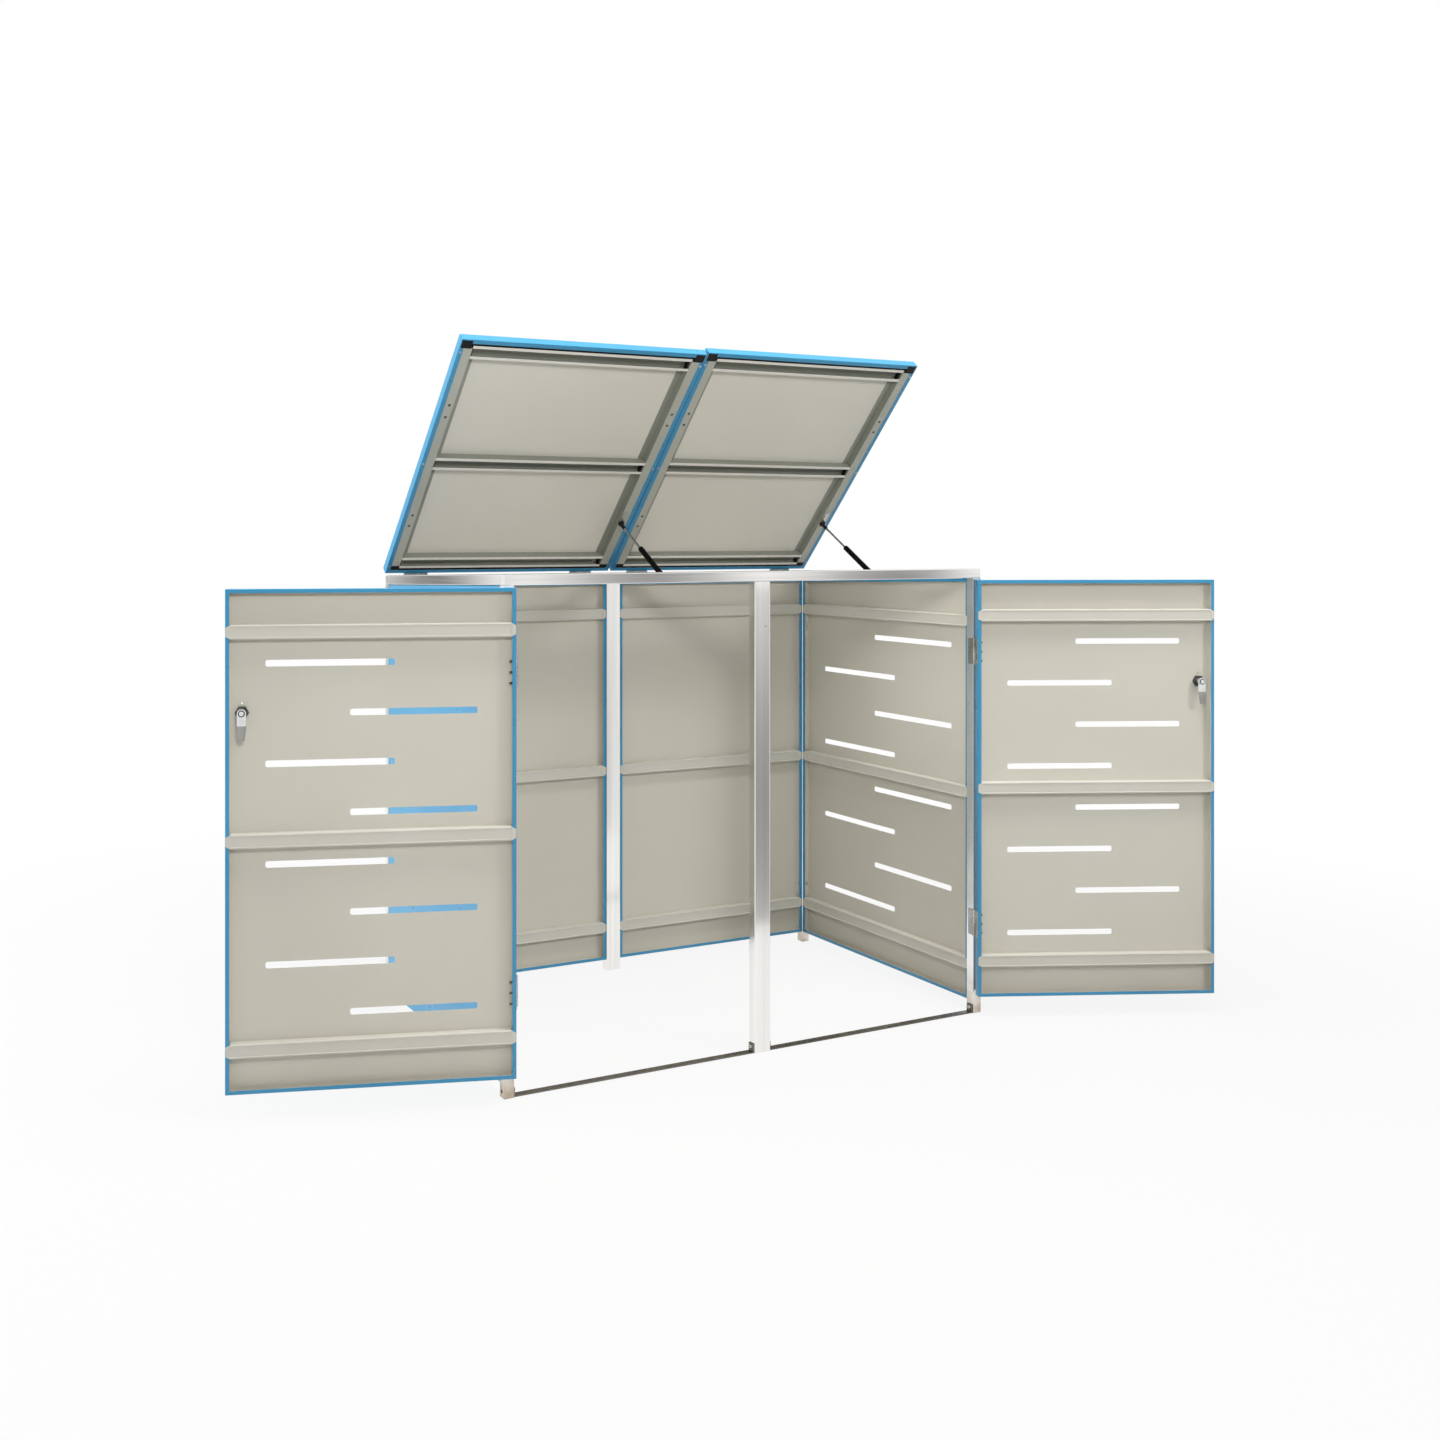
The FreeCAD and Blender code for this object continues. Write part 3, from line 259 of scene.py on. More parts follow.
# Sheet metal coats, then plastics, rubber and the struts' black paint
sheetCoat = {
    "gloss": (0.46, 0.6), "specular": 0.4, "peelScale": 900.0, "peelDepth": 0.00008, "driftScale": 2.4,
    "wear": 0.25, "dust": 0.05, "dustColour": (196, 190, 178), "clearCoat": 0.06, "clearRoughness": 0.2,
    "bump": 0.5,
}
moulded = {
    "specular": 0.25, "peelScale": 1400.0, "peelDepth": 0.00005, "driftScale": 30.0, "worn": (90, 88, 84),
    "wear": 0.0, "dust": 0.0, "dustColour": (150, 146, 138), "clearCoat": 0.0, "clearRoughness": 0.12,
    "bump": 0.6,
}
coatSettings = {
    "Blue coat": {
        **sheetCoat, "colour": (60, 149, 191), "shade": (52, 139, 182), "gloss": (0.26, 0.38),
        "peelDepth": 0.00004, "worn": (186, 206, 216), "dust": 0.03, "clearCoat": 0.25,
    },
    "Beige coat": {
        **sheetCoat, "colour": (209, 206, 194), "shade": (204, 200, 188), "worn": (226, 226, 222), "dust": 0.06,
    },
    # painted light: a paler copy of the beige inside coat, for the lids' undersides
    "Lid inside coat": {
        **sheetCoat, "colour": (227, 223, 211), "shade": (221, 217, 205), "worn": (228, 228, 224),
        "wear": 0.2, "dust": 0.04,
    },
    "Rail coat": {
        **sheetCoat, "colour": (207, 205, 195), "shade": (200, 197, 186), "gloss": (0.34, 0.48),
        "specular": 0.5, "peelDepth": 0.00006, "worn": (240, 240, 236), "wear": 0.5, "clearCoat": 0.12,
    },
    "Side channel coat": {
        **sheetCoat, "colour": (184, 185, 173), "shade": (174, 175, 163), "gloss": (0.34, 0.48),
        "specular": 0.45, "worn": (226, 226, 220), "wear": 0.7, "clearCoat": 0.08,
    },
    # painted highlight: a paler copy of the channel coat, for the cross channels' outward flanges
    "Cross channel lip coat": {
        **sheetCoat, "colour": (234, 231, 222), "shade": (226, 223, 213), "gloss": (0.34, 0.48),
        "specular": 0.45, "peelDepth": 0.00006, "worn": (244, 244, 240), "wear": 0.4, "dust": 0.04,
        "clearCoat": 0.1,
    },
    # painted shade: a darker copy of the channel coat, for the channels' walls and troughs
    "Channel trough coat": {
        **sheetCoat, "colour": (158, 160, 149), "shade": (144, 146, 135), "specular": 0.35,
        "worn": (196, 196, 188), "wear": 0.3, "clearCoat": 0.0,
    },
    "Black plastic": {
        **moulded, "colour": (22, 22, 22), "shade": (15, 15, 15), "gloss": (0.5, 0.68),
        "peelDepth": 0.00012, "worn": (92, 92, 92), "wear": 0.4, "dust": 0.1,
    },
    "Seal rubber": {
        **moulded, "colour": (18, 18, 19), "shade": (12, 12, 13), "gloss": (0.66, 0.82), "peelScale": 2200.0,
        "peelDepth": 0.00008, "worn": (70, 70, 72), "wear": 0.3, "dust": 0.1,
    },
    # painted shade: near black for the tubes' inner walls, for the shade inside the hollow tubes
    "Tube inside": {
        **moulded, "colour": (58, 56, 52), "shade": (40, 39, 36), "gloss": (0.7, 0.85), "specular": 0.1,
    },
    # painted shadow: a dark strip on the sheet under each rail's lower leg
    "Rail sealant": {
        **moulded, "colour": (98, 93, 86), "shade": (84, 80, 74), "gloss": (0.6, 0.8), "specular": 0.15,
    },
    "Strut paint": {
        **moulded, "colour": (9, 10, 9), "shade": (5, 5, 5), "gloss": (0.42, 0.55), "specular": 0.08,
        "peelScale": 1100.0, "peelDepth": 0.00003, "worn": (80, 80, 80), "wear": 0.2,
    },
}


def coatMaterial(name, settings):
    material, tree, shader, coordinates = startMaterial(
        name, Metallic=0.0, Coat_Weight=settings["clearCoat"], Coat_Roughness=settings["clearRoughness"],
        Specular_IOR_Level=settings["specular"],
    )
    scales = {"Peel_Scale": settings["peelScale"], "Drift_Scale": settings["driftScale"]}
    skin = putGroup(tree, coatSkin, coordinates, **scales)
    drift = spread(tree, skin.outputs["Drift"], 0.0, 1.0, 0.3, 0.7)
    colour = mixColours(tree, drift, linear(*settings["colour"]), linear(*settings["shade"]))
    colour = wornAndDusty(tree, colour, coordinates, settings)
    link(tree, colour, shader.inputs["Base Color"])
    gloss = spread(tree, skin.outputs["Gloss"], *settings["gloss"], 0.3, 0.7)
    link(tree, gloss, shader.inputs["Roughness"])
    bumpFrom(tree, shader, skin.outputs["Height"], settings["peelDepth"], settings["bump"])
    return material


# Bare and plated metals
bareMetal = {
    "stretch": (1, 1, 1), "lineScale": 900.0, "worn": (240, 240, 238), "wear": 0.3,
    "dust": 0.08, "dustColour": (186, 182, 172), "bump": 0.6,
}
stainless = {
    **bareMetal, "colour": (248, 247, 245), "shade": (236, 234, 231), "lineScale": 1500.0,
    "roughness": (0.09, 0.14), "depth": 0.000005, "wear": 0.2,
}
plated = {**bareMetal, "lineScale": 700.0, "roughness": (0.22, 0.40), "depth": 0.00003}
metalSettings = {
    "Stainless upright": {**stainless, "stretch": (1, 1, 0.012)},
    "Splashed upright": {**stainless, "stretch": (1, 1, 0.012), "splash": (182, 168, 148)},
    "Stainless across": {**stainless, "stretch": (0.012, 1, 1)},
    "Stainless deep": {**stainless, "stretch": (1, 0.012, 1)},
    # a darker mill finish on the floor strips, darkened further as painted shade and a painted dark reflection
    "Strip steel": {
        **bareMetal, "colour": (138, 134, 127), "shade": (108, 104, 98), "stretch": (0.012, 1, 1),
        "lineScale": 1500.0, "roughness": (0.26, 0.42), "depth": 0.000014,
    },
    "Plated steel": {**plated, "colour": (206, 206, 204), "shade": (164, 164, 160)},
    "Dark plated steel": {**plated, "colour": (112, 112, 110), "shade": (72, 72, 71), "wear": 0.5},
    # painted shade: the darker steel for each cam below its crank
    "Cam steel": {
        **bareMetal, "colour": (172, 171, 167), "shade": (138, 138, 134), "stretch": (1, 1, 0.1),
        "roughness": (0.25, 0.42), "depth": 0.00002, "wear": 1.0,
    },
    "Lock chrome": {
        **bareMetal, "colour": (228, 229, 230), "shade": (206, 206, 206), "roughness": (0.05, 0.14),
        "depth": 0.00001, "wear": 0.2,
    },
    "Ground rod": {
        **bareMetal, "colour": (176, 178, 180), "shade": (140, 142, 144), "stretch": (0.1, 1, 1),
        "lineScale": 1600.0, "roughness": (0.12, 0.22), "depth": 0.000008, "wear": 0.1,
    },
}


def metalMaterial(name, settings):
    material, tree, shader, coordinates = startMaterial(name, settings["stretch"], Metallic=1.0)
    grain = putGroup(tree, brushedGrain, coordinates, Line_Scale=settings["lineScale"])
    plain = newNode(tree, "ShaderNodeTexCoord").outputs["Object"]
    haze = spread(tree, grain.outputs["Haze"], 0.0, 1.0, 0.32, 0.68)
    colour = mixColours(tree, haze, linear(*settings["colour"]), linear(*settings["shade"]))
    colour = wornAndDusty(tree, colour, plain, settings)
    if "splash" in settings:
        # a brown-grey tint towards the foot, in patches, over the lowest hand's breadth
        height = newNode(tree, "ShaderNodeSeparateXYZ", {0: plain}).outputs["Z"]
        low = spread(tree, height, 1.0, 0.0, 0.015, 0.13)
        patchy = spread(tree, noiseFrom(tree, plain, 26.0, 2.0), 0.5, 1.0, 0.3, 0.6)
        browned = mathNode(tree, "MULTIPLY", low, patchy, clamp=True)
        colour = mixColours(tree, browned, colour, linear(*settings["splash"]))
    link(tree, colour, shader.inputs["Base Color"])
    streak = spread(tree, grain.outputs["Streak"], *settings["roughness"], 0.25, 0.75)
    link(tree, streak, shader.inputs["Roughness"])
    bumpFrom(tree, shader, grain.outputs["Height"], settings["depth"], settings["bump"])
    return material


finishes = {}
for maker, table in ((coatMaterial, coatSettings), (metalMaterial, metalSettings)):
    for finishName, finishSettings in table.items():
        finishes[finishName] = maker(finishName, finishSettings)
print("materials built:", len(finishes))


# Worked copies: a node's own mesh, merged, with its folds and edges rounded
copyLimits = {"weld": 1e-6, "flat": 0.005, "foldAngle": math.radians(30), "offFace": 0.02, "sameWay": 0.99}


def faceGoesOn(tree, edge, loop, distance):
    middle = (edge.verts[0].co + edge.verts[1].co) / 2
    along = (loop.link_loop_next.vert.co - loop.vert.co).normalized()
    inward = loop.face.normal.cross(along)
    found = tree.find_nearest(middle + inward * distance)
    if found[0] is None or found[3] >= copyLimits["offFace"] * mm:
        return False
    return found[1].dot(loop.face.normal) > copyLimits["sameWay"]


def edgeRadius(tree, edge, sizes):
    if len(edge.link_faces) != 2 or edge.calc_face_angle(0) < copyLimits["foldAngle"]:
        return 0.0
    wide = all(faceGoesOn(tree, edge, loop, sizes["probe"] * mm) for loop in edge.link_loops)
    if edge.is_convex:
        return sizes["fold"] if wide else sizes["cut"]
    return sizes["inside"] if wide else 0.0


def meshFrom(shape, name):
    mesh = bpy.data.meshes.new(name)
    shape.to_mesh(mesh)
    shape.free()
    return mesh


def extent(corners):
    low = [min(corner[axis] for corner in corners) for axis in range(3)]
    high = [max(corner[axis] for corner in corners) for axis in range(3)]
    return low, high


def newPiece(name, mesh, *materials):
    piece = bpy.data.objects.new(name, mesh)
    bpy.context.scene.collection.objects.link(piece)
    piece.data.materials.clear()
    for material in materials:
        piece.data.materials.append(material)
    return piece


def settle(piece):
    # turns the modifiers' result into a plain mesh and removes them
    graph = bpy.context.evaluated_depsgraph_get()
    mesh = bpy.data.meshes.new_from_object(piece.evaluated_get(graph), depsgraph=graph)
    piece.modifiers.clear()
    rough = piece.data
    piece.data = mesh
    bpy.data.meshes.remove(rough)
    mesh.name = piece.name


def evenShading(piece, degrees=50):
    # smooth over folds, flat over the wide faces beside them
    piece.data.polygons.foreach_set("use_smooth", [True] * len(piece.data.polygons))
    piece.data.set_sharp_from_angle(angle=math.radians(degrees))
    weighted = piece.modifiers.new("Even shading", "WEIGHTED_NORMAL")
    weighted.mode = "FACE_AREA"
    weighted.weight = 100
    weighted.keep_sharp = True
    settle(piece)


def hand(piece, body, slot, *replaced):
    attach(piece, body)
    if replaced:
        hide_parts(*replaced)


def workedCopy(node, ending, slot, sizes, *materials):
    shape = bmesh.new()
    shape.from_mesh(nodes[node].data)
    bmesh.ops.remove_doubles(shape, verts=shape.verts, dist=copyLimits["weld"])
    bmesh.ops.dissolve_limit(shape, angle_limit=copyLimits["flat"], verts=shape.verts, edges=shape.edges)
    shape.normal_update()
    tree = BVHTree.FromBMesh(shape)
    widest = max(sizes["fold"], sizes["cut"], sizes["inside"])
    weight = shape.edges.layers.float.new("bevel_weight_edge")
    for edge in shape.edges:
        edge[weight] = edgeRadius(tree, edge, sizes) / widest
    name = f"{node}_{ending}"
    piece = newPiece(name, meshFrom(shape, name), *materials)
    bevel = piece.modifiers.new("Rounded edges", "BEVEL")
    bevel.limit_method = "WEIGHT"
    bevel.width = widest * mm
    bevel.segments = sizes["segments"]
    bevel.use_clamp_overlap = False
    settle(piece)
    evenShading(piece)
    hand(piece, bodyOf[node], slot, node)
    return piece


# Frame tubes
tubeSizes = {"fold": 2.4, "cut": 0.3, "inside": 0.0, "probe": 4.0, "segments": 4}
tubesByGrain = {
    "Splashed upright": ("front_left_post", "front_right_post", "back_left_post", "back_right_post"),
    "Stainless upright": ("front_mid_post", "back_mid_post"),
    "Stainless across": ("front_beam", "back_beam"),
    "Stainless deep": ("left_side_rail", "right_side_rail", "mid_rail"),
}
for grainName, tubes in tubesByGrain.items():
    coats = finishes[grainName], finishes["Tube inside"]
    for tube in tubes:
        drawnTube = workedCopy(tube, "tube", "stainless_tube", tubeSizes, *coats)
        low, high = extent([vertex.co for vertex in drawnTube.data.vertices])
        along = max(range(3), key=lambda axis: high[axis] - low[axis])
        # the inner walls take the near-black painted shade coat
        for face in drawnTube.data.polygons:
            within = all(low[a] + mm < face.center[a] < high[a] - mm for a in range(3) if a != along)
            face.material_index = 1 if within and abs(face.normal[along]) < 0.5 else 0
stripSizes = {"fold": 0.5, "cut": 0.5, "inside": 0.0, "probe": 3.5, "segments": 2}
# the floor strips take the darker steel with painted shade
workedCopy("floor_strips", "folded", "stainless_tube", stripSizes, finishes["Strip steel"])
print("frame tubes finished")


# Folded trays: blue outside and on the lips, beige inside
traySizes = {"fold": 1.8, "cut": 0.25, "inside": 0.8, "probe": 5.0, "segments": 4}
insideProbe = 1.5
trays = (
    "left_door", "right_door", "left_lid", "right_lid",
    "left_side_panel", "right_side_panel", "left_back_panel", "right_back_panel",
)


def twoCoats(piece, toRest):
    toClosed = toRest.inverted()
    turnOnly = toClosed.to_3x3()
    low, high = extent([toClosed @ vertex.co for vertex in piece.data.vertices])
    for face in piece.data.polygons:
        probe = toClosed @ face.center + turnOnly @ face.normal * insideProbe * mm
        inside = all(low[axis] < probe[axis] < high[axis] for axis in range(3))
        face.material_index = 1 if inside else 0


for tray in trays:
    # the lids' undersides take the paler copy of the beige coat, as painted light
    inside = "Lid inside coat" if tray.endswith("lid") else "Beige coat"
    folded = workedCopy(tray, "folded", "blue_sheet", traySizes, finishes["Blue coat"], finishes[inside])
    twoCoats(folded, atRest[bodyOf[tray]])
print("trays finished")


# Stiffening rails: rolled channels whose crowns run out over the lips in cut-off tongues
railSettings = {
    "width": 31.5, "top": 21.2, "floor": 1.0, "sheet": 1.2, "foldRadius": 2.6, "foldSteps": 5,
    "beadEnd": 4.6, "beadRun": 0.7, "beadDrop": 1.0, "legStart": 11.0,
    "tongueStart": 1.0, "tongueSide": 0.5, "chamfer": (10.0, 6.0),
    "sealant": ((-2.3, -1.0), (-1.9, -1.6), (-0.9, -2.0), (0.2, -2.0), (0.2, -1.0)),
}
railPanels = {  # width, heights of the rails, corner, degrees about the upright
    "door": (632.5, (1048.0, 596.5, 145.0), (-660.0, -12.5, 0.0), 0),
    "side": (730.0, (1031.0, 577.0, 123.0), (-689.0, 742.5, 0.0), -90),
    "back": (642.5, (1031.0, 577.0, 123.0), (-22.5, 766.5, 0.0), 180),
}
railNodes = {  # the panels they stiffen, and whether on the other side of the store
    "left_door_rails": (("door", False),),
    "right_door_rails": (("door", False),),
    "fixed_panel_rails": (("side", False), ("side", True), ("back", False), ("back", True)),
}


def foldedProfile(half, top, radius, settings):
    # leg, fold, low bead, crown, bead, fold, leg, as points of height against depth
    points = [(half, -settings["floor"])]
    for step in range(settings["foldSteps"] + 1):
        turn = math.radians(90 * step / settings["foldSteps"])
        points.append((half - radius + radius * math.cos(turn), -(top - radius + radius * math.sin(turn))))
    inward = settings["width"] / 2 - settings["beadEnd"]
    points += [(inward + settings["beadRun"], -top), (inward, -top + settings["beadDrop"])]
    return points + [(-up, deep) for up, deep in reversed(points)]


def joinRings(shape, first, second):
    for index in range(len(first)):
        follow = (index + 1) % len(first)
        shape.faces.new((first[index], second[index], second[follow], first[follow]))


def sweepAlong(shape, points, start, end):
    # a bar with open ends and the outline in the plane across u
    rings = [[shape.verts.new((u, v, w)) for v, w in points] for u in (start, end)]
    joinRings(shape, *rings)
    return rings


def capRibbon(shape, ring, outerCount):
    # closes a folded sheet's end, pairing its outer line with its inner line
    for index in range(outerCount - 1):
        last = len(ring) - 1
        shape.faces.new((ring[index], ring[index + 1], ring[last - index - 1], ring[last - index]))


def addRail(shape, width, centreV, settings):
    half = settings["width"] / 2
    sheet = settings["sheet"]
    outer = foldedProfile(half, settings["top"], settings["foldRadius"], settings)
    inner = foldedProfile(half - sheet, settings["top"] - sheet, settings["foldRadius"] - sheet, settings)
    lift = [(v + centreV, w) for v, w in outer] + [(v + centreV, w) for v, w in reversed(inner)]
    rings = sweepAlong(shape, lift, settings["legStart"], width - settings["legStart"])
    for ring in rings:
        capRibbon(shape, ring, len(outer))
    side = half - settings["tongueSide"]
    long, across = settings["chamfer"]
    first = settings["tongueStart"]
    tongue = [(settings["legStart"], side), (first + long, side), (first, half - across)]
    outline = tongue + [(u, -v) for u, v in reversed(tongue)]
    for mirrored in (False, True):
        levels = []
        for w in (-settings["top"], -settings["top"] + sheet):
            ends = [(width - u if mirrored else u, v + centreV, w) for u, v in outline]
            levels.append([shape.verts.new(point) for point in ends])
            shape.faces.new(levels[-1])
        joinRings(shape, *levels)
    # painted shadow: a dark strip on the sheet along the lower leg, standing in for the rail's shadow
    before = set(shape.faces)
    line = [(v + centreV - half, w) for v, w in settings["sealant"]]
    for ring in sweepAlong(shape, line, settings["legStart"], width - settings["legStart"]):
        shape.faces.new(ring)
    for face in set(shape.faces) - before:
        face.material_index = 1


def standUp(corner, turn):
    # a panel's own u, v, depth to the closed store
    place = Matrix.Translation(Vector(corner) * mm) @ Matrix.Rotation(math.radians(turn), 4, "Z")
    return place @ Matrix.Rotation(math.radians(90), 4, "X") @ Matrix.Scale(mm, 4)


for railNode, panels in railNodes.items():
    allRails = bmesh.new()
    for panelName, otherSide in panels:
        panelWidth, heights, corner, turn = railPanels[panelName]
        before = len(allRails.verts)
        for height in heights:
            addRail(allRails, panelWidth, height, railSettings)
        allRails.verts.ensure_lookup_table()
        toRest = standUp(corner, turn)
        if otherSide:
            toRest = acrossPlane @ toRest
        toRest = atRest[bodyOf[railNode]] @ toRest
        for vertex in allRails.verts[before:]:
            vertex.co = toRest @ vertex.co
    bmesh.ops.recalc_face_normals(allRails, faces=allRails.faces)
    name = f"{railNode}_rolled"
    rolled = newPiece(name, meshFrom(allRails, name), finishes["Rail coat"], finishes["Rail sealant"])
    evenShading(rolled)
    hand(rolled, bodyOf[railNode], "grey_channel", railNode)
print("rails finished")


# Channels and small parts that keep their node's shape
smallWork = {
    "channelSizes": {"fold": 1.2, "cut": 0.2, "inside": 0.4, "probe": 3.0, "segments": 3},
    "plateSizes": {"fold": 0.35, "cut": 0.35, "inside": 0.0, "probe": 2.0, "segments": 2},
    "mouldSizes": {"fold": 1.0, "cut": 0.5, "inside": 0.0, "probe": 3.0, "segments": 3},
    "sealSizes": {"fold": 1.2, "cut": 0.8, "inside": 0.0, "probe": 2.0, "segments": 3},
    "lockSizes": {"fold": 0.5, "cut": 0.3, "inside": 0.0, "probe": 1.2, "segments": 3},
}
workedNodes = [  # SIDE stands for left and right
    ("SIDE_lid_channels", "folded", "grey_channel", "channelSizes", "Side channel coat"),
    ("post_hinge_leaves", "pressed", "plated_steel", "plateSizes", "Plated steel"),
    ("beam_hinge_leaves", "pressed", "plated_steel", "plateSizes", "Plated steel"),
    ("SIDE_door_hinge_leaves", "pressed", "plated_steel", "plateSizes", "Plated steel"),
    ("SIDE_lid_hinge_leaves", "pressed", "plated_steel", "plateSizes", "Plated steel"),
    ("SIDE_lid_strut_bracket", "pressed", "plated_steel", "plateSizes", "Plated steel"),
    ("SIDE_lid_blocks", "moulded", "black_plastic", "mouldSizes", "Black plastic"),
    ("foot_plugs", "moulded", "black_plastic", "mouldSizes", "Black plastic"),
    ("SIDE_lid_seals", "strip", "seal_rubber", "sealSizes", "Seal rubber"),
    ("SIDE_lock_barrel", "turned", "lock_chrome", "lockSizes", "Lock chrome"),
    ("SIDE_lock_plug", "turned", "lock_chrome", "lockSizes", "Lock chrome"),
    ("SIDE_lock_nut", "milled", "plated_steel", "lockSizes", "Dark plated steel"),
    ("SIDE_lock_cam", "pressed", "plated_steel", "lockSizes", "Lock chrome"),
]
for pattern, ending, slot, sizes, finishName in workedNodes:
    for side in ("left", "right") if "SIDE" in pattern else ("",):
        workedCopy(pattern.replace("SIDE", side), ending, slot, smallWork[sizes], finishes[finishName])

# Painted light: each lock's cam is bright chrome above its crank, a painted highlight, and a duller, darker
# steel below it, painted shade
camCrank = {"top": 847.0, "shadedBelow": "Cam steel"}
for side in ("left", "right"):
    cam = bpy.data.objects[f"{side}_lock_cam_pressed"]
    cam.data.materials.append(finishes[camCrank["shadedBelow"]])
    toClosed = atRest[f"{side}_lock"].inverted()
    for face in cam.data.polygons:
        face.material_index = 1 if (toClosed @ face.center).z < camCrank["top"] * mm else 0

# Painted light in the lids' channels: the cross channels' outward flanges get a paler coat as a painted
# highlight, the walls and troughs a darker coat as painted shade; the side channels' flanges keep their own
# coat
channelCoats = {"flangeLevel": 3.4, "flangeFacing": -0.3, "sideReach": 40.0, "lidSides": (-690.0, -4.0)}
for lidBody in ("left_lid", "right_lid"):
    channels = bpy.data.objects[f"{lidBody}_channels_folded"]
    for coat in ("Cross channel lip coat", "Channel trough coat"):
        channels.data.materials.append(finishes[coat])
    toClosed = atRest[lidBody].inverted()
    for face in channels.data.polygons:
        centre = toClosed @ face.center / mm
        alongSide = min(abs(centre.x - side) for side in channelCoats["lidSides"]) < channelCoats["sideReach"]
        facing = (toClosed.to_3x3() @ face.normal).z
        outside = centre.z < channelCoats["flangeLevel"] and facing < channelCoats["flangeFacing"]
        face.material_index = 2 if not outside else 0 if alongSide else 1
print("small parts finished")


# Fastener heads: one tree makes the nuts, screws, bolts and rivets from a point and a direction each
headColumns = (
    "Head Radius", "Head Height", "Crown Height", "Crown Share", "Sides", "Recess Radius", "Recess Depth",
    "Seed",
)
headRows = {
    "hinge nut": (4.0, 2.5, 0.6, 0.86, 6, 1.0, -0.1, 3),
    # the flange eyelets are black as painted shade for the holes
    "flange shade eyelet": (3.5, 0.15, 0.1, 0.92, 20, 1.8, 0.6, 19),
    "lock ring": (7.6, 0.3, 0.2, 0.95, 32, 2.0, 0.2, 15),
    "lock screw": (5.6, 1.2, 0.8, 0.8, 6, 2.6, 1.6, 17),
    "leaf screw": (2.7, 0.1, 0.1, 0.85, 20, 1.4, 0.15, 5),
    "panel screw": (4.8, 1.2, 1.2, 0.62, 24, 2.3, 1.5, 7),
    "strip bolt": (5.5, 1.8, 1.7, 0.68, 24, 2.4, 2.2, 9),
    "lip rivet": (3.0, 0.5, 0.7, 0.6, 20, 0.9, 0.5, 11),
    "post screw": (2.8, 0.5, 0.6, 0.7, 20, 1.3, 0.6, 13),
}
headSizes = {kind: dict(zip(headColumns, row)) for kind, row in headRows.items()}
headSizes["hinge nut"].update({"Stud": True, "Stud Radius": 2.4, "Stud Height": 14.0})
for kind in ("leaf screw", "panel screw", "post screw"):
    headSizes[kind]["Cross Recess"] = True


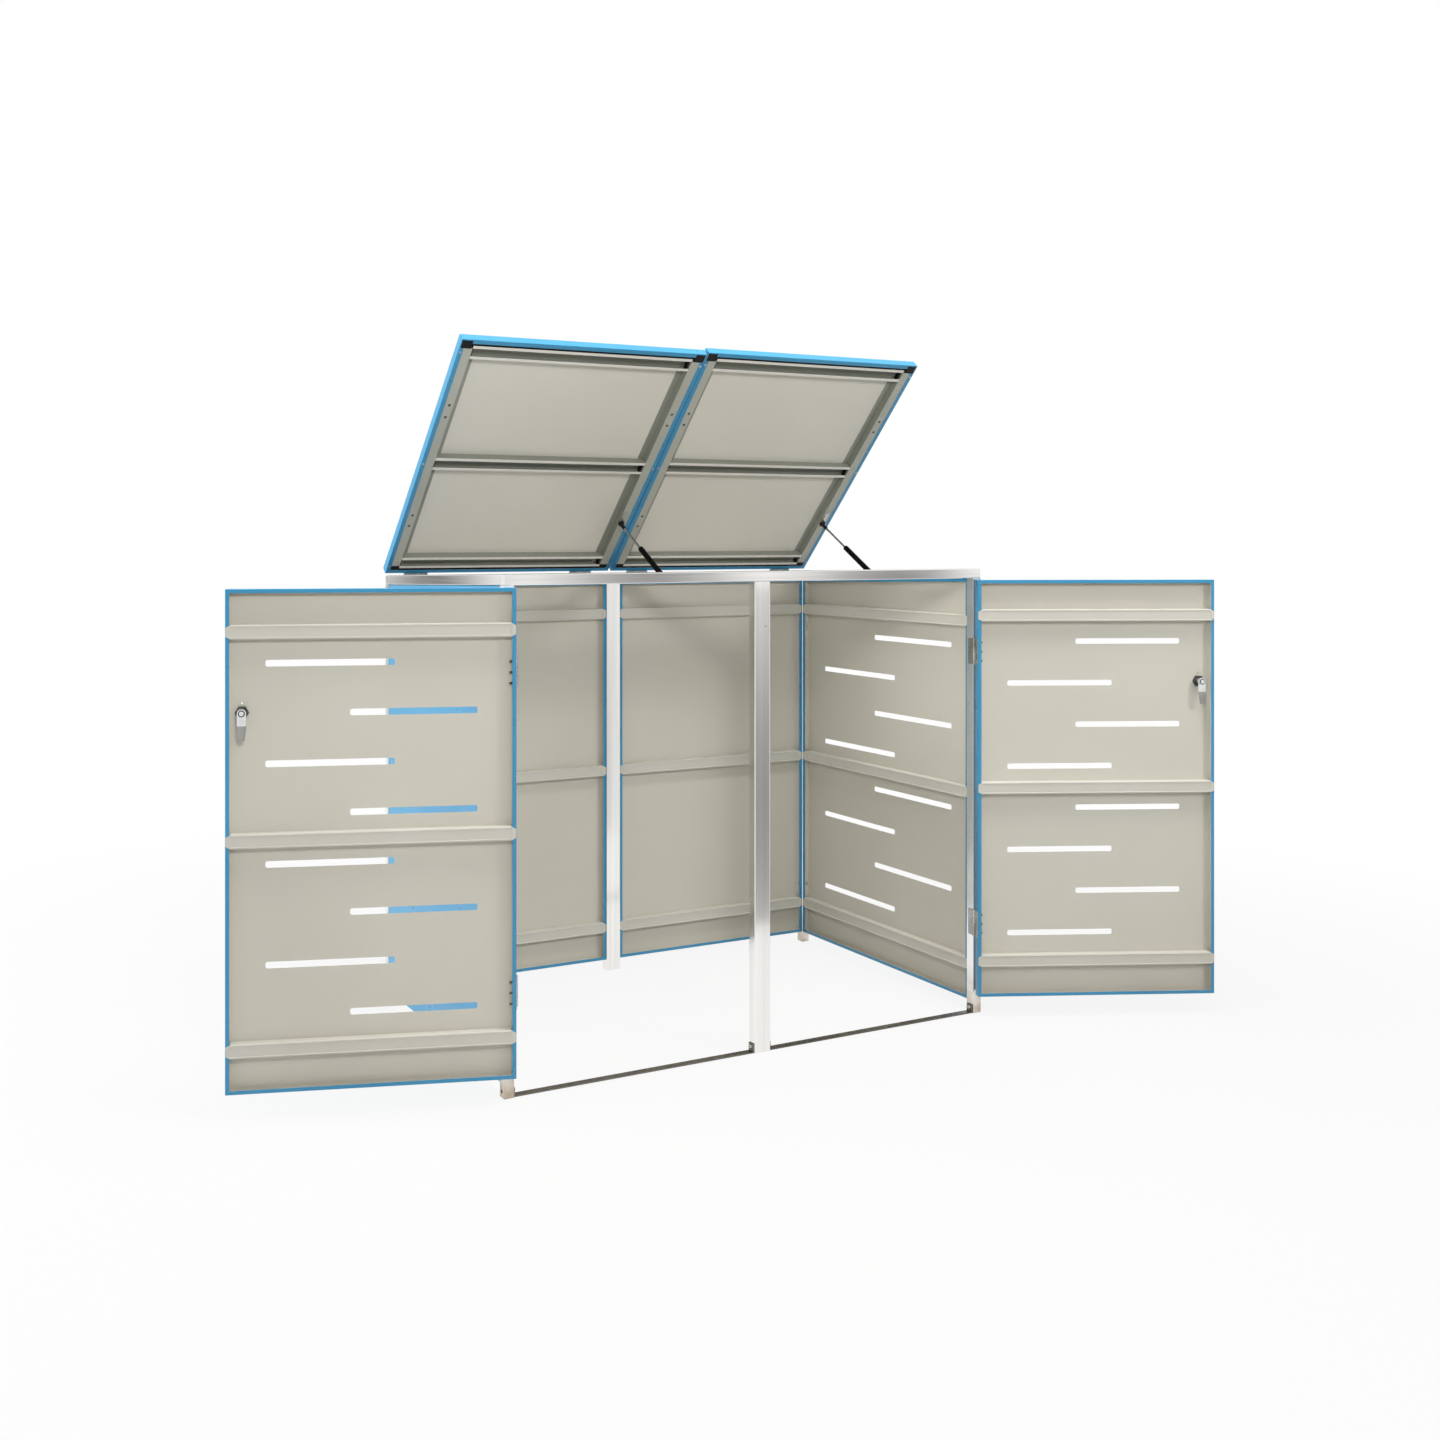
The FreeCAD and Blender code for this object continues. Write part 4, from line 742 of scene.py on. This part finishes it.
def fastenerTree():
    tree = bpy.data.node_groups.new("Fastener heads", "GeometryNodeTree")
    kinds = {
        "Places": "Geometry", "Finish": "Material", "Cross Recess": "Bool",
        "Stud": "Bool", "Stud Radius": "Float", "Stud Height": "Float",
    }
    for label in headColumns:
        kinds[label] = "Int" if label in ("Sides", "Seed") else "Float"
    for label, kind in kinds.items():
        tree.interface.new_socket(label, in_out="INPUT", socket_type=f"NodeSocket{kind}")
    tree.interface.new_socket("Heads", in_out="OUTPUT", socket_type="NodeSocketGeometry")
    start, end = newNode(tree, "NodeGroupInput"), newNode(tree, "NodeGroupOutput")
    given = start.outputs

    def raised(geometry, height):
        place = newNode(tree, "ShaderNodeCombineXYZ", {"Z": height}).outputs[0]
        moved = newNode(tree, "GeometryNodeTransform", {"Geometry": geometry, "Translation": place})
        return moved.outputs[0]

    # the head, with its top drawn in to a crown
    head = newNode(tree, "GeometryNodeMeshCylinder", {
        "Vertices": given["Sides"], "Radius": given["Head Radius"], "Depth": given["Head Height"],
    }).outputs
    crown = newNode(tree, "GeometryNodeExtrudeMesh", {
        "Mesh": head["Mesh"], "Selection": head["Top"], "Offset Scale": given["Crown Height"],
    }).outputs
    drawn = newNode(tree, "GeometryNodeScaleElements", {
        "Geometry": crown["Mesh"], "Selection": crown["Top"], "Scale": given["Crown Share"],
    })
    seated = raised(drawn.outputs[0], mathNode(tree, "DIVIDE", given["Head Height"], 2))

    # the key's recess, six-sided or a cross, cut from above
    above = 0.001
    armShare = 0.4
    tall = mathNode(tree, "ADD", given["Recess Depth"], above)
    sixSided = newNode(tree, "GeometryNodeMeshCylinder", {
        "Vertices": 6, "Radius": given["Recess Radius"], "Depth": tall,
    })
    cross = newNode(tree, "GeometryNodeMeshBoolean", operation="UNION")
    long = mathNode(tree, "MULTIPLY", given["Recess Radius"], 2)
    narrow = mathNode(tree, "MULTIPLY", given["Recess Radius"], armShare)
    for across, along in ((long, narrow), (narrow, long)):
        size = newNode(tree, "ShaderNodeCombineXYZ", {"X": across, "Y": along, "Z": tall}).outputs[0]
        arm = newNode(tree, "GeometryNodeMeshCube", {"Size": size})
        link(tree, arm.outputs["Mesh"], cross.inputs["Mesh 2"])
    recess = newNode(tree, "GeometryNodeSwitch", {
        "Switch": given["Cross Recess"], "False": sixSided.outputs["Mesh"], "True": cross.outputs["Mesh"],
    }, input_type="GEOMETRY").outputs[0]
    top = mathNode(tree, "ADD", given["Head Height"], given["Crown Height"])
    lift = mathNode(tree, "DIVIDE", mathNode(tree, "SUBTRACT", above, given["Recess Depth"]), 2)
    cutter = raised(recess, mathNode(tree, "ADD", top, lift))
    cut = newNode(tree, "GeometryNodeMeshBoolean", operation="DIFFERENCE")
    link(tree, seated, cut.inputs["Mesh 1"])
    link(tree, cutter, cut.inputs["Mesh 2"])

    # the stud's end above a nut
    stud = newNode(tree, "GeometryNodeMeshCylinder", {
        "Vertices": 16, "Radius": given["Stud Radius"], "Depth": given["Stud Height"],
    })
    studMiddle = mathNode(tree, "ADD", top, mathNode(tree, "DIVIDE", given["Stud Height"], 4))
    choice = {"Switch": given["Stud"], "True": raised(stud.outputs["Mesh"], studMiddle)}
    withStud = newNode(tree, "GeometryNodeSwitch", choice, input_type="GEOMETRY")
    whole = newNode(tree, "GeometryNodeJoinGeometry")
    link(tree, cut.outputs["Mesh"], whole.inputs[0])
    link(tree, withStud.outputs[0], whole.inputs[0])

    # one on each place, along its facing, turned by chance about itself
    facing = newNode(tree, "GeometryNodeInputNamedAttribute", {"Name": "facing"}, data_type="FLOAT_VECTOR")
    towards = {"Vector": facing.outputs["Attribute"]}
    aligned = newNode(tree, "FunctionNodeAlignRotationToVector", towards, axis="Z")
    limits = {3: 2 * math.pi, "Seed": given["Seed"]}
    chance = newNode(tree, "FunctionNodeRandomValue", limits, data_type="FLOAT")
    aboutItself = {"Axis": (0, 0, 1), "Angle": chance.outputs[1]}
    spin = newNode(tree, "FunctionNodeAxisAngleToRotation", aboutItself)
    turns = {0: aligned.outputs[0], 1: spin.outputs[0]}
    turned = newNode(tree, "FunctionNodeRotateRotation", turns, rotation_space="LOCAL")
    copies = newNode(tree, "GeometryNodeInstanceOnPoints", {
        "Points": given["Places"], "Instance": whole.outputs[0], "Rotation": turned.outputs[0],
    })
    real = newNode(tree, "GeometryNodeRealizeInstances", {0: copies.outputs[0]})
    coat = {"Geometry": real.outputs[0], "Material": given["Finish"]}
    finish = newNode(tree, "GeometryNodeSetMaterial", coat)
    link(tree, finish.outputs[0], end.inputs[0])
    return tree


fastenerHeads = fastenerTree()


def putFasteners(name, body, kind, places, *replaced, finish="Plated steel", slot="plated_steel"):
    mesh = bpy.data.meshes.new(name)
    toRest = atRest[body]
    mesh.from_pydata([toRest @ millimetres(*point) for point, way in places], [], [])
    facing = mesh.attributes.new("facing", "FLOAT_VECTOR", "POINT")
    for value, (point, way) in zip(facing.data, places):
        value.vector = toRest.to_3x3() @ Vector(way)
    piece = newPiece(name, mesh)
    heads = piece.modifiers.new("Fastener heads", "NODES")
    heads.node_group = fastenerHeads
    for item in fastenerHeads.interface.items_tree:
        if item.in_out != "INPUT":
            continue
        if item.name == "Finish":
            heads[item.identifier] = finishes[finish]
        elif item.name in headSizes[kind]:
            value = headSizes[kind][item.name]
            isLength = item.name.split()[-1] in ("Radius", "Height", "Depth")
            heads[item.identifier] = value * mm if isLength else value
    settle(piece)
    evenShading(piece, 30)
    hand(piece, body, slot, *replaced)


def bothSides(places):
    return places + [((-point[0], *point[1:]), (-way[0], *way[1:])) for point, way in places]


hingeRows = [middle + step for middle in (953, 240) for step in (-24, 0, 24)]
panelRows = (180, 577.5, 975)
lipRows = (-751, -397.5, -34)
lidHoles = ((-666, -570), (-666, -200), (-28, -570))
postLeafPlaces = bothSides([((-663.4, -3, z), (1, 0, 0)) for z in hingeRows])
panelPlaces = [((-679, y, z), (0, way, 0)) for y, way in ((13.5, 1), (741.5, -1)) for z in panelRows]
panelPlaces += [((x, 756.5, z), (way, 0, 0)) for x, way in ((-664, 1), (-23.5, -1)) for z in panelRows]
stripPlaces = [((-662, 0, 14), (1, 0, 0)), ((-25.5, 0, 14), (-1, 0, 0))]
nutPlaces = [((-659, -3, z), (1, 0, 0)) for z in hingeRows]
leafPlaces = [((-661.6, -3, z), (-1, 0, 0)) for z in hingeRows]
rivetPlaces = [((x, y, 0.8), (0, 0, -1)) for x in (-684, -10) for y in lipRows]
eyeletPlaces = [((x, y + half, 1.8), (0, 0, -1)) for x, y in lidHoles for half in (-19, 19)]
putFasteners("post_leaf_screws", "frame", "leaf screw", postLeafPlaces)
putFasteners("panel_screw_heads", "frame", "panel screw", bothSides(panelPlaces), "fixed_panel_screws")
putFasteners("strip_bolt_heads", "frame", "strip bolt", bothSides(stripPlaces), "floor_strip_bolts")
putFasteners("mid_post_screw", "frame", "post screw", [((8.5, -12.5, 1036), (0, -1, 0))])
for side in ("left", "right"):
    door, lid, lock = f"{side}_door", f"{side}_lid", f"{side}_lock"
    putFasteners(f"{door}_hinge_nuts", door, "hinge nut", nutPlaces, finish="Dark plated steel")
    putFasteners(f"{door}_leaf_screws", door, "leaf screw", leafPlaces)
    putFasteners(f"{lid}_lip_rivets", lid, "lip rivet", rivetPlaces, f"{lid}_rivets")
    # painted shade: black eyelets over the flange holes, for the shade inside the holes
    putFasteners(
        f"{lid}_hole_shades", lid, "flange shade eyelet", eyeletPlaces, finish="Black plastic", slot="black_plastic",
    )
    ringPlace, screwPlace = [((-62.5, y, 873), (0, 1, 0)) for y in (13.7, 14.0)]
    putFasteners(f"{lock}_ring", lock, "lock ring", [ringPlace], finish="Dark plated steel")
    putFasteners(f"{lock}_screw", lock, "lock screw", [screwPlace], finish="Lock chrome")
print("fasteners finished")


# Gas struts, turned about their own axis: eye, neck, crimped tube; ribbed socket with its eye
strutSettings = {
    "studReach": 205.0, "studDrop": 12.0,
    "baseForward": 387.0, "baseDrop": 5.0, "baseAcross": (-42.4, 651.6),
    "tube": (
        (4.6, 0), (4.6, 4.3), (14.8, 4.3), (15.4, 5.0), (16.0, 5.0), (16.6, 6.6), (17.6, 7.3), (18.8, 7.5),
        (136.6, 7.5), (137.4, 6.8), (139.4, 6.8), (140.2, 7.5), (145.6, 7.5), (147.0, 6.9), (147.8, 5.6),
        (148.0, 4.4), (148.0, 3.06), (24.0, 3.06), (24.0, 0),
    ),
    "lowerEye": ((-5, 3.06), (-5, 6.3), (-4.3, 7), (4.3, 7), (5, 6.3), (5, 3.06)),
    "upperEye": (
        (-5, 0), (-5, 3.2), (-4.4, 3.6), (-4.4, 5.6), (-5, 6.0), (-4.6, 6.8), (-4.2, 7), (4.3, 7),
        (5, 6.3), (5, 0),
    ),
    "socket": 26.0, "socketRadius": 4.8, "ribs": 5, "ribStep": 3.0, "segments": 40,
}


def spinProfile(shape, profile, place, segments, closed=False):
    rings = []
    for along, radius in profile:
        turns = range(segments if radius else 1)
        angles = [2 * math.pi * turn / segments for turn in turns]
        points = [Vector((radius * math.cos(a), along, radius * math.sin(a))) for a in angles]
        rings.append([shape.verts.new(place @ point) for point in points])
    pairs = list(zip(rings, rings[1:])) + ([(rings[-1], rings[0])] if closed else [])
    for first, second in pairs:
        for turn in range(segments):
            follow = (turn + 1) % segments
            around = [first[turn % len(first)], first[follow % len(first)]]
            around += [second[follow % len(second)], second[turn % len(second)]]
            shape.faces.new(list(dict.fromkeys(around)))


def turnedPiece(name, node, slot, finishName, spins):
    shape = bmesh.new()
    for profile, place, closed in spins:
        spinProfile(shape, profile, place, strutSettings["segments"], closed)
    bmesh.ops.recalc_face_normals(shape, faces=shape.faces)
    piece = newPiece(name, meshFrom(shape, name), finishes[finishName])
    evenShading(piece, 40)
    hand(piece, bodyOf[node], slot, node)


def strutLine(opening, across, settings):
    # length and place of a strut whose lid stands open by so many degrees
    turn = math.radians(opening)
    stud = (-settings["studReach"], -settings["studDrop"])
    run = stud[0] * math.cos(turn) + stud[1] * math.sin(turn) + settings["baseForward"]
    rise = -stud[0] * math.sin(turn) + stud[1] * math.cos(turn) + settings["baseDrop"]
    base = lidPivot + millimetres(across, -settings["baseForward"], -settings["baseDrop"])
    line = Matrix.Translation(base) @ Matrix.Rotation(math.atan2(rise, run), 4, "X") @ Matrix.Scale(mm, 4)
    return math.hypot(run, rise), line


def socketProfile(length, settings):
    radius, start = settings["socketRadius"], length - settings["socket"]
    profile = [(start, 0), (start, radius - 0.6), (start + 0.6, radius)]
    for rib in range(settings["ribs"]):
        groove = start + 2.4 + rib * settings["ribStep"]
        profile += [(groove, radius), (groove + 0.3, radius - 0.5)]
        profile += [(groove + 1.1, radius - 0.5), (groove + 1.4, radius)]
    return profile + [(length - 7.6, radius), (length - 5.0, radius - 0.5), (length - 5.0, 0)]


for side, across in zip(("left", "right"), strutSettings["baseAcross"]):
    length, line = strutLine(motion[f"{side}LidOpen"], across, strutSettings)
    sideways = Matrix.Rotation(math.radians(-90), 4, "Z")
    upperEnd = line @ Matrix.Translation((0, length, 0)) @ sideways
    tubeSpins = [(strutSettings["tube"], line, False), (strutSettings["lowerEye"], line @ sideways, True)]
    socket = socketProfile(length, strutSettings)
    socketSpins = [(socket, line, False), (strutSettings["upperEye"], upperEnd, False)]
    strut = f"{side}_strut"
    turnedPiece(f"{strut}_tube", f"{strut}_cylinder", "strut_cylinder", "Strut paint", tubeSpins)
    turnedPiece(f"{strut}_end", f"{strut}_socket", "black_plastic", "Black plastic", socketSpins)
print("struts finished")


# Nodes that stay as they are, with a finish of their own
keptNodes = {
    "Plated steel": ("door_hinge_pins", "lid_hinge_pins", "rail_strut_brackets"),
    "Ground rod": ("left_strut_rod", "right_strut_rod"),
}
for finishName, kept in keptNodes.items():
    for node in kept:
        nodes[node].data.materials.clear()
        nodes[node].data.materials.append(finishes[finishName])


# Stage: a pale floor that turns white further out, and a white world that lights mostly from above
stageSettings = {
    "floorRadius": 14.0, "floorPlace": (0, 0.2, -0.0006), "floorColour": (190, 189, 187),
    "floorRoughness": 0.7, "floorSpecular": 0.1, "fadeStart": 1.2, "fadeEnd": 3.6, "whiteShare": 0.88,
    "ambientLow": 0.05, "ambientHigh": 0.28,
}


def shownShare(tree):
    # rays that show the background: straight to the camera, mirrored or through something clear
    rays = newNode(tree, "ShaderNodeLightPath")
    seen = mathNode(tree, "MAXIMUM", rays.outputs["Is Camera Ray"], rays.outputs["Is Glossy Ray"])
    return mathNode(tree, "MAXIMUM", seen, rays.outputs["Is Transmission Ray"])


def layFloor(settings):
    shape = bmesh.new()
    bmesh.ops.create_circle(shape, cap_ends=True, segments=96, radius=settings["floorRadius"])
    mesh = meshFrom(shape, "Floor")
    mesh.transform(Matrix.Translation(settings["floorPlace"]))
    material, tree = newMaterial("Pale floor")
    shader = tree.nodes["Principled BSDF"]
    shader.inputs["Base Color"].default_value = linear(*settings["floorColour"])
    shader.inputs["Roughness"].default_value = settings["floorRoughness"]
    shader.inputs["Specular IOR Level"].default_value = settings["floorSpecular"]
    white = newNode(tree, "ShaderNodeEmission", {"Strength": 1.0}).outputs[0]
    place = newNode(tree, "ShaderNodeTexCoord").outputs["Object"]
    radius = newNode(tree, "ShaderNodeVectorMath", {0: place}, operation="LENGTH")
    fade = newNode(tree, "ShaderNodeMapRange", {
        "Value": radius.outputs["Value"], "From Min": settings["fadeStart"], "From Max": settings["fadeEnd"],
        "To Min": settings["whiteShare"],
    }, interpolation_type="SMOOTHSTEP")
    share = mathNode(tree, "MULTIPLY", fade.outputs["Result"], shownShare(tree))
    mix = newNode(tree, "ShaderNodeMixShader", {0: share, 1: shader.outputs[0], 2: white})
    link(tree, mix.outputs[0], tree.nodes["Material Output"].inputs["Surface"])
    newPiece("Floor", mesh, material)


def lightWorld(settings):
    world = bpy.data.worlds.new("White room")
    bpy.context.scene.world = world
    world.use_nodes = True
    tree = world.node_tree
    tree.nodes.clear()
    direction = newNode(tree, "ShaderNodeTexCoord").outputs["Generated"]
    split = newNode(tree, "ShaderNodeSeparateXYZ", {0: direction})
    level = spread(tree, split.outputs["Z"], settings["ambientLow"], settings["ambientHigh"], -0.3, 0.9)
    plain = (1, 1, 1, 1)
    soft = newNode(tree, "ShaderNodeBackground", {"Color": plain, "Strength": level}).outputs[0]
    white = newNode(tree, "ShaderNodeBackground", {"Color": plain, "Strength": 1.0}).outputs[0]
    mix = newNode(tree, "ShaderNodeMixShader", {0: shownShare(tree), 1: soft, 2: white})
    link(tree, mix.outputs[0], newNode(tree, "ShaderNodeOutputWorld").inputs["Surface"])


# Grey cards that only the bright metal mirrors, as a studio sets them up around steel
cards = {
    "Card for the beam": {
        "place": (2.95, -4.5, 1.0), "half": (2.3, 2.6), "turned": 0,
        "tones": (
            (-1.0, 1.0), (-0.88, 0.98), (-0.765, 0.58), (-0.656, 1.1), (-0.546, 0.78), (-0.435, 0.47),
            (-0.287, 0.3), (-0.14, 0.48), (0.05, 1.1), (0.176, 0.86), (0.345, 0.44), (0.516, 0.26),
            (0.62, 0.36), (0.81, 1.1), (1.0, 1.0),
        ),
    },
    "Card for the mid post": {
        "place": (0.68, -1.0, 0.12), "half": (0.3, 0.97), "turned": 0, "fade": (0.4, 1.25),
        "tones": ((-1.0, 1.0), (-0.6, 0.34), (0.6, 0.34), (1.0, 1.0)),
    },
    "Card for the left rail": {
        "place": (-2.5, 5.2, 1.0), "half": (1.1, 1.6), "turned": 90,
        "tones": ((-1.0, 1.05), (-0.8, 0.62), (-0.5, 0.22), (-0.2, 0.14), (0.1, 0.25), (0.4, 0.5), (1.0, 1.0)),
    },
}


def toneAt(tones, share):
    # the card's level at a share of its half width, eased between its tones
    for (first, level), (second, follow) in zip(tones, tones[1:]):
        if share <= second:
            step = min(max((share - first) / (second - first), 0), 1)
            return level + (follow - level) * step * step * (3 - 2 * step)
    return tones[-1][1]


def standCards(table):
    material, tree = newMaterial("Grey card")
    tree.nodes.remove(tree.nodes["Principled BSDF"])
    fade = newNode(tree, "ShaderNodeAttribute", attribute_name="level")
    glow = newNode(tree, "ShaderNodeEmission", {"Strength": fade.outputs["Fac"]})
    link(tree, glow.outputs[0], tree.nodes["Material Output"].inputs["Surface"])
    for name, settings in table.items():
        shape = bmesh.new()
        bmesh.ops.create_grid(shape, x_segments=120, y_segments=40, size=1.0)
        level = shape.verts.layers.float.new("level")
        turn = Matrix.Rotation(math.radians(settings["turned"]), 3, "Z")
        middle, reach = settings.get("fade", (settings["place"][2], settings["half"][1]))
        for vertex in shape.verts:
            across = vertex.co.x
            flat = Vector((across * settings["half"][0], 0, vertex.co.y * settings["half"][1]))
            vertex.co = Vector(settings["place"]) + turn @ flat
            weight = math.cos(min(abs(vertex.co.z - middle) / reach, 1) * math.pi / 2) ** 2
            vertex[level] = 1 - (1 - toneAt(settings["tones"], across)) * weight
        card = newPiece(name.replace(" ", "_"), meshFrom(shape, name), material)
        for ray in ("camera", "diffuse", "transmission", "shadow", "volume_scatter"):
            setattr(card, f"visible_{ray}", False)


lamps = {
    "Near left": {"place": (-1.5, -2.3, 2.1), "aim": (-0.3, 0.1, 1.0), "size": 0.5, "power": 29},
    "Near right": {"place": (1.6, -2.6, 2.1), "aim": (0.3, 0.1, 1.0), "size": 0.5, "power": 22},
    "Left": {"place": (-4.4, 1.6, 2.2), "aim": (-0.7, 0.4, 1.0), "size": 1.8, "power": 200},
    "Top": {"place": (0.2, -0.6, 4.5), "aim": (0, 0.2, 1.4), "size": 1.8, "power": 170},
}


def hangLamps(table):
    for name, settings in table.items():
        data = bpy.data.lights.new(name, "AREA")
        data.size = settings["size"]
        data.energy = settings["power"]
        lamp = bpy.data.objects.new(name, data)
        lamp.location = settings["place"]
        direction = Vector(settings["aim"]) - Vector(settings["place"])
        lamp.rotation_euler = direction.to_track_quat("-Z", "Y").to_euler()
        lamp.visible_glossy = False  # the steel mirrors the white room and the cards, not the lamps
        bpy.context.scene.collection.objects.link(lamp)


layFloor(stageSettings)
lightWorld(stageSettings)
standCards(cards)
hangLamps(lamps)
print("stage ready")
